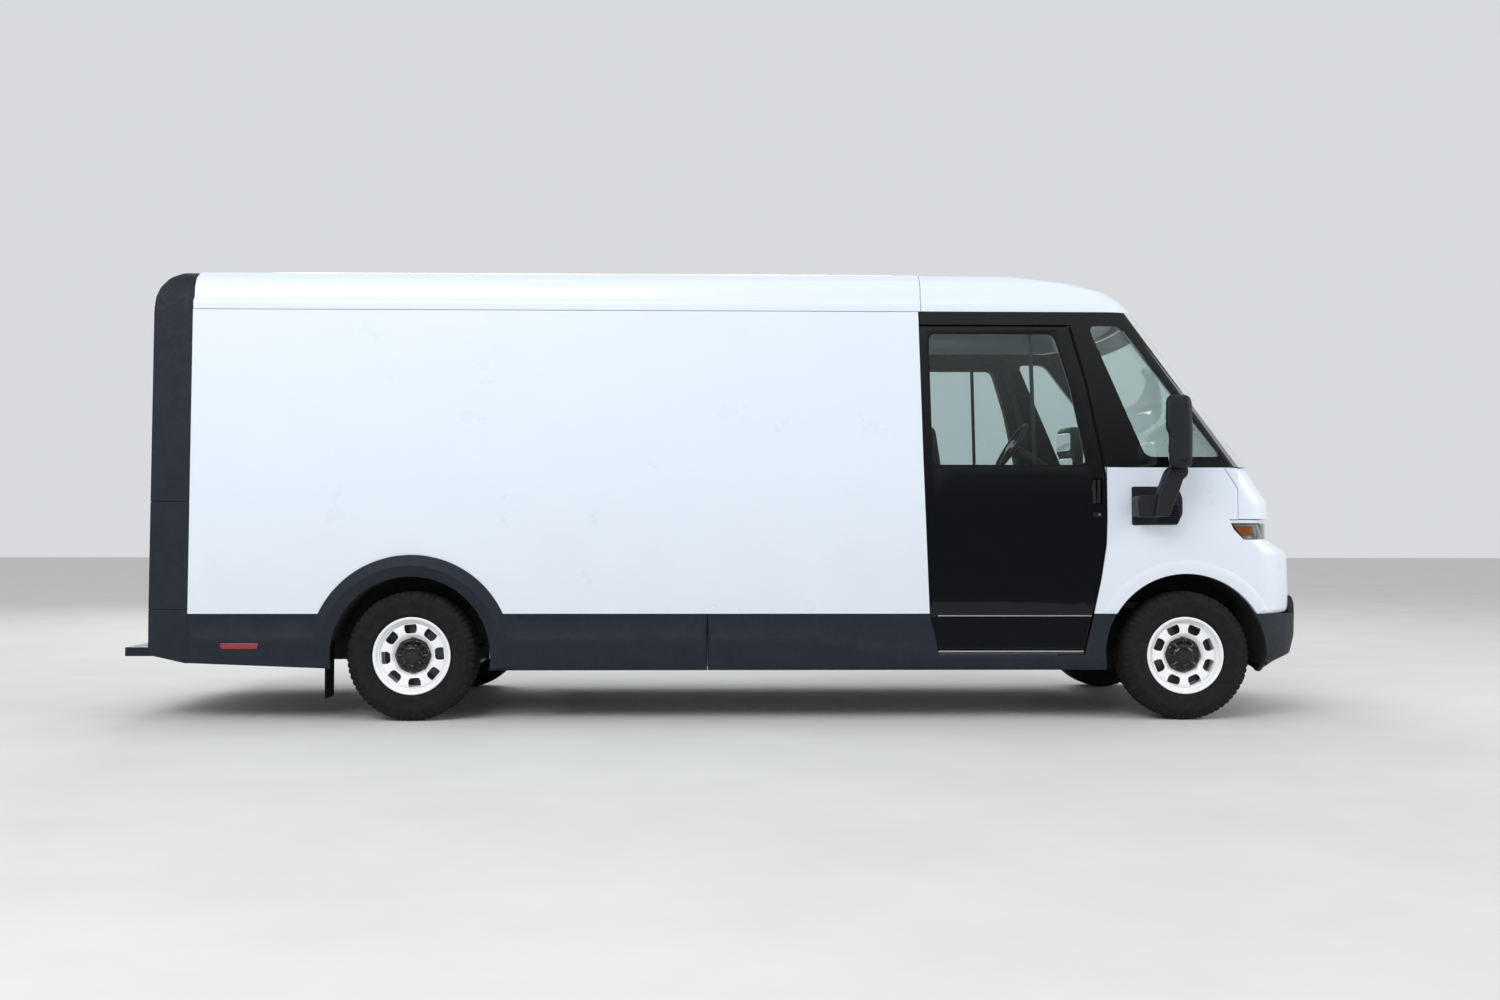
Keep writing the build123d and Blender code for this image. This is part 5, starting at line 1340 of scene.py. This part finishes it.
pair(lamp_strip, "headlamp_lens", (0.096, 0.022), to_end(0), 1.092, 1.186, 0.001, 0.004, LENS,
     stands_for="headlamps")
for name, start, stop, low, high, depth, thick, material, steps in (
        ("headlamp_bowl", (0.092, 0.016), to_end(0), 1.091, 1.189, 0.042, 0.010, ALUMINIUM, 26),
        ("headlamp_brow", (0.010, 0.004), to_end(0), 1.188, 1.2085, 0.009, 0.040, WHITE, 26),
        ("headlamp_frame", (0.020, 0.014), (0.210, 0.225), 1.181, 1.188, 0.007, 0.030, MIRROR_SHELL, 26),
        ("headlamp_rim", (0.090, 0.016), (0.098, 0.024), 1.091, 1.186, 0.002, 0.040, MIRROR_SHELL, 2),
        ("turn_signal", (0.082, 0.030), (0.150, 0.168), 1.112, 1.170, 0.012, 0.026, AMBER_LENS, 26),
        ("headlamp_dark_bowl", (0.300, 0.262), to_end(0.02), 1.114, 1.182, 0.026, 0.012, GLOSS_BLACK, 26),
        ("light_guide_top", (0.030, 0.026), (0.196, 0.190), 1.172, 1.181, 0.009, 0.014, HEADLINER, 26),
        ("light_guide_post", (0.222, 0.178), (0.252, 0.202), 1.102, 1.181, 0.009, 0.014, HEADLINER, 6),
        ("light_guide_base", (0.222, 0.228), to_end(0.01), 1.100, 1.112, 0.009, 0.014, HEADLINER, 26)):
    pair(lamp_strip, name, start, stop, low, high, depth, thick, material, steps)
for k in range(3):
    start = 0.320 + k * 0.140
    pair(lamp_strip, f"projector_{k}", (start, start), (start + 0.09, start + 0.09), 1.120, 1.178, 0.020,
         0.006, MIRROR_GLASS, 8, slot="rim_white", round_mm=1.5)
band = [[(x, y, z) for x, y in plan(FRONT_X + LAMP_NOSE - 0.004 - depth, LAMP_HALF_Y - depth,
                                    LAMP_CORNER - depth, LAMP_BOW - depth,
                                    FRONT_X + 0.3) if abs(y) < LAMP_INNER_Y + 0.03]
        for depth in (0.0, 0.05) for z in (1.090, 1.210)]
plate("lamp_band_moulding", band[:2], band[2:], GLOSS_BLACK, stands_for="lamp_band")
print("lamps done, line", round(LAMP_END, 3), "m")

# %% [markdown]
# The driver's seat stands on a pleated skirt round its pedestal. Each pad is lofted a little small,
# remeshed evenly, given its crown and side bolsters, and then blown up by a cloth simulation whose moves
# are capped, so the cover bulges between its edges as a stuffed seat does. Seams and piping are laid on
# afterwards.

# %% Driver's seat
SEAT_X, SEAT_Y = FRONT_X - 1.090, 0.440
UP, AHEAD = Vector((0, 0, 1)), Vector((1, 0, 0))
BACK_LEAN = radians(8.5)
BACK_UP = Vector((-sin(BACK_LEAN), 0, cos(BACK_LEAN)))
BACK_OUT = Vector((cos(BACK_LEAN), 0, sin(BACK_LEAN)))
PRESSURE, CLOTH_STEPS = 4, 20
PAD_STATIONS = [(0, 0.034), (0.03, 0.010), (0.4, 0.0), (0.8, 0.003), (0.96, 0.016), (1.0, 0.042)]


def bake(piece):
    """Apply every modifier of a piece."""
    shaped = evaluated(piece)
    piece.modifiers.clear()
    piece.data = shaped


def swell(piece, cap):
    """Pressure under a cloth cover, no point moved further than cap."""
    before = [vertex.co.copy() for vertex in piece.data.vertices]
    cover = piece.modifiers.new("cover", "CLOTH")
    cover.settings.use_pressure = True
    cover.settings.uniform_pressure_force = PRESSURE
    cover.settings.effector_weights.gravity = 0
    cover.point_cache.frame_end = CLOTH_STEPS
    for moment in range(1, CLOTH_STEPS + 1):
        scene.frame_set(moment)
    bake(piece)
    for vertex, start in zip(piece.data.vertices, before):
        move = vertex.co - start
        if move.length > cap:
            vertex.co = start + move * (cap / move.length)
    scene.frame_set(1)


def pad(name, origin, along, out, length, width, thick, hollow, cap, voxel, full, **place):
    """Upholstered pad from origin, its lower middle; hollow is how far its middle lies below the bolsters."""
    across = along.cross(out)
    rows = []
    for t, pull in soften(PAD_STATIONS, 0.06, 3):
        loop = rounded_box((pull, length - pull), (-width / 2 + pull, width / 2 - pull), 0.060)
        rows.append([tuple(origin + along * a + across * b + out * (thick * t)) for a, b in loop])
    piece = skin(name, rows, SEAT_CLOTH, **place)
    even = piece.modifiers.new("even_cover", "REMESH")
    even.mode = "VOXEL"
    even.voxel_size = voxel
    bake(piece)
    for vertex in piece.data.vertices:
        at = vertex.co - origin
        a, b, depth = at.dot(along) / length, abs(at.dot(across)) / (width / 2), at.dot(out) / thick
        middle = max(0.0, 1 - (b / 0.62) ** 4) * min(1.0, max(0.0, (depth - 0.5) * 4))
        crown = 1 - 0.6 * (2 * a - 1) ** 2
        vertex.co -= out * (hollow * middle * (1.4 - crown))
        way = 1 if at.dot(across) > 0 else -1
        vertex.co -= across * (0.010 * way * max(0.0, 1 - abs(2 * a - 1) * 1.3) * b)
    swell(piece, cap)
    piece.data.polygons.foreach_set("use_smooth", [True] * len(piece.data.polygons))
    smooth = piece.modifiers.new("fine_cover", "SUBSURF")
    smooth.levels = smooth.render_levels = 1

    def seam(name, line, radius=0.0032):
        """Piping or a sewn line, laid on the pad where rays towards it land."""
        bpy.context.view_layer.update()
        rays = [piece.ray_cast(origin + along * a + across * b + out * (thick * 2), -out) for a, b in line]
        path = [tuple(spot) for hit, spot, _, _ in rays if hit]
        if len(path) > 3:
            tube(name, path, radius, SEAL, 6, 0.004, slot="seat_cloth")

    return piece, seam


cushion, cushion_seam = pad("seat_cushion", Vector((SEAT_X - 0.222, SEAT_Y, 1.146)), AHEAD, UP, 0.444, 0.470,
                            0.108, 0.026, 0.010, 0.007, 0.8, stands_for="driver_seat")
_, back_seam = pad("seat_back", Vector((SEAT_X - 0.228, SEAT_Y, 1.225)), BACK_UP, BACK_OUT, 0.655, 0.452,
                   0.086, 0.024, 0.009, 0.008, 0.8)
pad("seat_headrest", Vector((SEAT_X - 0.323, SEAT_Y, 1.922)), BACK_UP, BACK_OUT, 0.155, 0.262, 0.078, 0.008,
    0.006, 0.005, 0.9)
for name, sew, step, count, channels in (("cushion", cushion_seam, 0.016, 25, (0.15, 0.30)),
                                         ("back", back_seam, 0.02, 31, (0.16, 0.30, 0.44))):
    for number, b in enumerate((-0.142, 0.142)):
        sew(f"{name}_seam_{number}", [(0.03 + step * k, b) for k in range(count)])
    for number, a in enumerate(channels):
        sew(f"{name}_channel_{number}", [(a, -0.14 + 0.014 * k) for k in range(21)], 0.0025)
for number, y in enumerate((-0.06, 0.06)):
    post = [(SEAT_X - 0.272, SEAT_Y + y, 1.84), (SEAT_X - 0.288, SEAT_Y + y, 1.95)]
    tube(f"headrest_post_{number}", post, 0.006, ALUMINIUM, 12)
PLEATS = 24
pleats = []
for k in range(PLEATS + 1):
    fold = 0.012 * (k % 2) if 0 < k < PLEATS else 0.0
    pleats.append((0.760 + k * 0.0145, 0.004 + fold + 0.012 * sin(pi * k / PLEATS)))
FOOT = (SEAT_X - 0.170, SEAT_X + 0.150), (SEAT_Y - 0.190, SEAT_Y + 0.190)
skin("seat_bellows", stack(*FOOT, 0.03, pleats), SEAL, sharp=60)
skin("seat_base", stack(*FOOT, 0.02, ((0.7005, 0.0), (0.712, 0.0), (0.716, 0.004), (0.762, 0.010))), CHASSIS)
skin("seat_pan", stack((SEAT_X - 0.215, SEAT_X + 0.2), (SEAT_Y - 0.22, SEAT_Y + 0.22), 0.04,
                       ((1.105, 0.05), (1.112, 0.02), (1.140, 0.0), (1.150, 0.0))), INTERIOR)
tube("seat_lever", [(SEAT_X + 0.05, SEAT_Y - 0.232, 1.125), (SEAT_X + 0.12, SEAT_Y - 0.238, 1.125),
                    (SEAT_X + 0.16, SEAT_Y - 0.236, 1.135)], 0.007, INTERIOR, 10, 0.02)
print("seat done, cushion points", len(cushion.data.vertices))

# %% [markdown]
# The steering wheel faces the driver, tipped with its column. Its rim is a ring that thickens at the grips,
# the three spokes are lofts that twist from the pad into the rim, and the pad is a shallow cushion of
# plastic. The dashboard is the solid with rounded edges, a hooded display ahead of the wheel, a blank
# screen in the middle, vents across its face and a shroud over the column.

# %% Steering wheel and dashboard
WHEEL_CENTRE = Vector((FRONT_X - 0.754, SEAT_Y, 1.738))
TILT = radians(33)
WHEEL_DOWN, WHEEL_SIDE = Vector((-sin(TILT), 0, -cos(TILT))), Vector((0, 1, 0))
WHEEL_AXIS = Vector((cos(TILT), 0, -sin(TILT)))
GRIPS = (2.3, 3.98)
RIM_R = 0.184


def on_wheel(a, b, c):
    """Point down, across and along the steering wheel's axis from its centre."""
    return tuple(WHEEL_CENTRE + WHEEL_DOWN * a + WHEEL_SIDE * b + WHEEL_AXIS * c)


def turning(name, rows, **place):
    """Loft that turns with the steering wheel."""
    skin(f"steering_{name}", rows, INTERIOR, body="steering_wheel", **place)


rim_rows = []
for k in range(96):
    turn = 2 * pi * k / 96
    grip = sum(max(0.0, 1 - abs(((turn - middle + pi) % (2 * pi)) - pi) / 0.35) for middle in GRIPS)
    row = []
    for angle in (2 * pi * s / 12 for s in range(12)):
        radius = RIM_R + (0.0135 + 0.002 * grip) * cos(angle)
        row.append(on_wheel(radius * cos(turn), radius * sin(turn), (0.0145 + 0.001 * grip) * sin(angle)))
    rim_rows.append(row)
turning("rim", rim_rows, caps=False, loop=True, stands_for="steering_wheel")
for number, turn in enumerate((pi / 2, -pi / 2, 0.0)):
    rows = []
    for r, wide, thick, sink in ((0.045, 0.026, 0.012, -0.004), (0.080, 0.022, 0.009, -0.003),
                                 (0.130, 0.016, 0.007, 0.001), (0.160, 0.016, 0.006, 0.003),
                                 (0.182, 0.020, 0.006, 0.0)):
        loop = rounded_box((-wide, wide), (-thick + sink, thick + sink), 0.005)
        rows.append([on_wheel(r * cos(turn) - w * sin(turn), r * sin(turn) + w * cos(turn), c)
                     for w, c in loop])
    turning(f"spoke_{number}", rows)
turning("pad", [[on_wheel(x, y, c) for x, y in rounded_box((-0.050 * share, 0.062 * share),
                                                           (-0.061 * share, 0.061 * share), 0.024 * share)]
                for c, share in ((0.010, 0.80), (0.0, 0.97), (-0.010, 1.0), (-0.016, 0.93), (-0.0185, 0.72),
                                 (-0.0195, 0.40))])
tube("steering_shroud", [on_wheel(0, 0, 0.036), on_wheel(0, 0, 0.30)], 0.040, INTERIOR, 24)
for number, side in enumerate((1, -1)):
    stalk = ((0.0, 0.030, 0.062), (-0.004, 0.10, 0.052), (-0.008, 0.150, 0.048))
    tube(f"column_stalk_{number}", [on_wheel(a, side * b, c) for a, b, c in stalk], 0.0065, INTERIOR, 10)
dress("dashboard", "dashboard_moulding", INTERIOR, 8.0)
hood_rows = []
for x, half, high in ((-0.408, 0.170, 0.085), (-0.340, 0.166, 0.092), (-0.250, 0.150, 0.070),
                      (-0.180, 0.120, 0.030)):
    outer = [(SEAT_Y + half * cos(a), 1.475 + (high + 0.02) * sin(a) ** 0.7)
             for a in (radians(8 + 164 * k / 24) for k in range(25))]
    inner = [(y + (SEAT_Y - y) * 0.06, z - 0.008) for y, z in reversed(outer)]
    hood_rows.append([(FRONT_X + x, y, z) for y, z in outer + inner])
skin("display_hood", hood_rows, INTERIOR)
for name, corners, y0, y1, material, round_mm in (
        ("driver_display", [(-380, 1470), (-374, 1470), (-350, 1560), (-356, 1560)], 0.305, 0.575,
         GLOSS_BLACK, 2),
        ("centre_screen", [(-440, 1300), (-428, 1296), (-372, 1480), (-384, 1484)], -0.150, 0.150,
         GLOSS_BLACK, 4),
        ("passenger_shelf", [(-452, 1235), (-430, 1228), (-404, 1400), (-414, 1404)], -0.86, -0.36,
         INTERIOR, 5)):
    slab(name, from_front(corners), y0, y1, material, round_mm)
for number, y in enumerate((-0.74, -0.30, 0.20, 0.72)):
    for blade in range(5):
        z = 1.440 + blade * 0.012
        x = FRONT_X - 0.400 + (z - 1.42) * 1.11
        section = [(x - 0.014, z - 0.002), (x + 0.006, z + 0.003), (x + 0.006, z + 0.006),
                   (x - 0.014, z + 0.001)]
        slab(f"vent_{number}_{blade}", section, y - 0.055, y + 0.055, GLOSS_BLACK, 0.6)
print("steering wheel and dashboard done")

# %% [markdown]
# Behind the seats a grey wall with a sliding door closes the cargo space, and a roll-up shutter closes the
# rear. The shutter's slats are the solid's own, with aluminium guides, a bottom rail, a latch and a lift
# handle. The red lamps are three lenses a side in a dark frame, and the step has an open tread.

# %% Bulkhead, shutter, step and rear lamps
SHUTTER_X = REAR_FACE_X + 0.060
RAIL_FACE = (SHUTTER_X - 0.010, SHUTTER_X - 0.001)
dress("bulkhead", "bulkhead_wall", LINING, 2.0)
dress("bulkhead_door", "bulkhead_door_panel", LINING, body="bulkhead_door")
dress("rear_shutter", "rear_shutter_curtain", SHUTTER, 2.0)
dress("rear_step", "rear_step_beam", CLADDING)
pair(bar, "shutter_guide", (SHUTTER_X - 0.012, SHUTTER_X - 0.001), (0.846, 0.879), (0.703, 2.428),
     ALUMINIUM, 1.5)
handrail = [(SHUTTER_X - x, 0.868, z) for x, z in ((0.006, 1.150), (0.050, 1.156), (0.050, 1.700),
                                                   (0.006, 1.706))]
pair(tube, "rear_handrail", handrail, 0.0095, ALUMINIUM, 12)
bar("shutter_bottom_rail", RAIL_FACE, (-0.840, 0.840), (0.703, 0.775), ALUMINIUM)
bar("shutter_latch", (SHUTTER_X - 0.024, SHUTTER_X - 0.008), (-0.060, 0.060), (0.712, 0.766), ZINC, 3)
handle = [(SHUTTER_X - x, y, z) for x, y, z in ((0, -0.09, 0.905), (0.038, -0.085, 0.910),
                                                (0.038, 0.085, 0.910), (0, 0.09, 0.905))]
tube("shutter_handle", handle, 0.009, SEAL, 12, 0.02, slot="mirror_black")
TREAD_PLATE = [(REAR_FACE_X + x, z) for x, z in ((-0.180, 0.4338), (-0.020, 0.4338), (-0.020, 0.4355),
                                                 (-0.180, 0.4355))]
for number in range(15):
    y = -0.91 + number * 0.13
    slab(f"step_tread_{number}", TREAD_PLATE, y - 0.045, y + 0.045, ALUMINIUM, 0.5)


def rear_lamp(name, y, z, radius, stations, material, **place):
    """Rounded block on the rear face of both sides; stations give its depths and pulls."""
    rows = [[(REAR_FACE_X - depth, a, b) for a, b, depth in row] for row in stack(y, z, radius, stations)]
    pair(skin, name, rows, material, **place)


FRAME_STATIONS = ((0.0, 0.0), (0.005, 0.0), (0.0065, 0.0015))
rear_lamp("tail_lamp_frame", (0.9255, 1.0345), (1.1805, 1.5595), 0.018, FRAME_STATIONS, GLOSS_BLACK)
for number, (z, lens, node) in enumerate((((1.188, 1.262), LENS, ""), ((1.268, 1.352), AMBER_LENS, ""),
                                          ((1.358, 1.552), RED_LENS, "red_lamps"))):
    rear_lamp(f"tail_lens_{number}", (0.933, 1.027), z, 0.012,
              ((0.0055, 0.0), (0.0095, 0.0), (0.0112, 0.0014), (0.0118, 0.005)), lens, stands_for=node)
print("bulkhead, shutter, step and rear lamps done")

# %% [markdown]
# Two wipers park along the foot of the windshield. Each arm leaves a round pivot on the cowl and carries a
# rubber blade, and both follow the curve of the glass at a small distance.

# %% Wipers
PIVOT_Z = 1.556
COLLAR_TURNS = [2 * pi * k / 24 for k in range(24)]


def on_glass(y, z, out):
    """Point off the windshield's outer face."""
    return on_shield(asin_safe(y / DOME_R), z, out)


for number, (pivot, tip) in enumerate(((0.66, 0.06), (-0.06, -0.66))):
    step = (tip - pivot) / 12
    arm = [on_glass(pivot + step * k, PIVOT_Z + 0.0035 * k, 0.016 if k < 3 else 0.013) for k in range(9)]
    tube(f"wiper_arm_{number}", arm, 0.0065, MIRROR_SHELL, 8, 0.02)
    blade = [on_glass(pivot + step * (3 + k), 1.574 + 0.0030 * k, 0.0065) for k in range(10)]
    tube(f"wiper_blade_{number}", blade, 0.0050, SEAL, 8, 0.02, slot="mirror_black")
    collar = [[on_glass(pivot + r * cos(t), PIVOT_Z + r * sin(t), out) for t in COLLAR_TURNS]
              for out, r in ((0.0015, 0.024), (0.014, 0.022), (0.020, 0.016), (0.021, 0.006))]
    skin(f"wiper_pivot_{number}", collar, MIRROR_SHELL)
print("wipers done")

# %% [markdown]
# Under the floor the pack is a ribbed casting bolted between the rails. The drive unit carries cooling
# ribs, the front dampers stand in coil springs and orange cable runs back from the unit to the pack. The
# mud flaps are ribbed rubber sheets on steel brackets, and the charge flap closes flush over its socket.

# %% Underbody, mud flaps and charge port
PACK_REAR, PACK_FRONT = REAR_X + 0.85, FRONT_X - 0.70
COIL_TURNS, COIL_R = 7, 0.037
FLAP_ROWS, FLAP_COLUMNS = 12, 29
dress("battery_pack", "battery_case", CASTING, 6.0)
dress("drive_unit", "drive_unit_case", CASTING, 5.0, slot="drive_alloy")
for number in range(9):
    x = PACK_REAR + 0.16 + number * (PACK_FRONT - PACK_REAR - 0.32) / 8
    pair(bar, f"pack_rib_{number}", (x - 0.006, x + 0.006), (0.726, 0.736), (0.310, 0.465), CASTING, 1.5)
    hexagon = [[(x + 0.03 + r * cos(t), y, 0.44 + r * sin(t)) for t in (radians(60 * k) for k in range(6))]
               for y, r in ((0.727, 0.011), (0.735, 0.011), (0.737, 0.009))]
    pair(skin, f"pack_bolt_{number}", hexagon, ZINC)
coil = [(FRONT_X + 0.172 + COIL_R * cos(a), 0.556 + COIL_R * sin(a),
         0.345 + 0.245 * a / (COIL_TURNS * 2 * pi))
        for a in (2 * pi * k / 14 for k in range(14 * COIL_TURNS + 1))]
pair(tube, "coil_spring", coil, 0.006, CHASSIS, 8, 0.001)
pair(tube, "drive_cable", [(FRONT_X - 0.185, 0.06, 0.45), (FRONT_X - 0.30, 0.08, 0.455),
                           (FRONT_X - 0.45, 0.22, 0.45), (PACK_FRONT - 0.005, 0.25, 0.42)], 0.011, CABLE,
     12, 0.06)
flap = [[[(REAR_X - 0.5195 + thick + 0.0013 * (1 + cos(2 * pi * k / 4)),
           0.853 + 0.199 * k / (FLAP_COLUMNS - 1), 0.132 + 0.346 * row / (FLAP_ROWS - 1))
          for k in range(FLAP_COLUMNS)] for row in range(FLAP_ROWS)]
        for thick in (0.0, 0.0045)]
pair(plate, "mud_flap", *flap, SEAL, slot="liner_black", stands_for="mud_flaps")
# The dark liner plates inboard of each wheel are painted shade: they stand where the shade under the van
# falls and hide the lit floor beyond.
for name, x, y, z, material, round_mm, slot in (
        ("mud_flap_bracket", (REAR_X - 0.540, REAR_X - 0.512), (1.041, 1.059), (0.341, 0.399), CHASSIS, 2,
         None),
        ("mud_flap_clamp", (REAR_X - 0.524, REAR_X - 0.5195), (0.86, 1.045), (0.452, 0.476), ZINC, 1,
         "chassis_black"),
        ("splash_shield_front", (FRONT_X - 0.60, FRONT_X - 0.20), (0.520, 0.525), (0.26, 0.60), LINER, 1.5,
         None),
        ("splash_shield_rear", (REAR_X - 0.62, REAR_X - 0.43), (0.700, 0.705), (0.34, 0.68), LINER, 1.5,
         None)):
    pair(bar, name, x, y, z, material, round_mm, slot=slot)
dress("charge_flap", "charge_flap_panel", WHITE, 1.5, body="charge_flap")
dress("charge_inlet", "charge_socket", INTERIOR, 1.0)
print("underbody done")

# %% Finish of the nodes that stay as they are
FINISH = {
    CHASSIS: "frame front_subframe wishbones dampers rear_axle leaf_springs knuckle_left knuckle_right",
    DECK: "floor",
    WHITE: "cargo_sides",
    LINER: "wheel_liners",
}
for material, names in FINISH.items():
    for name in names.split():
        NODES[name].data.materials.clear()
        NODES[name].data.materials.append(material)
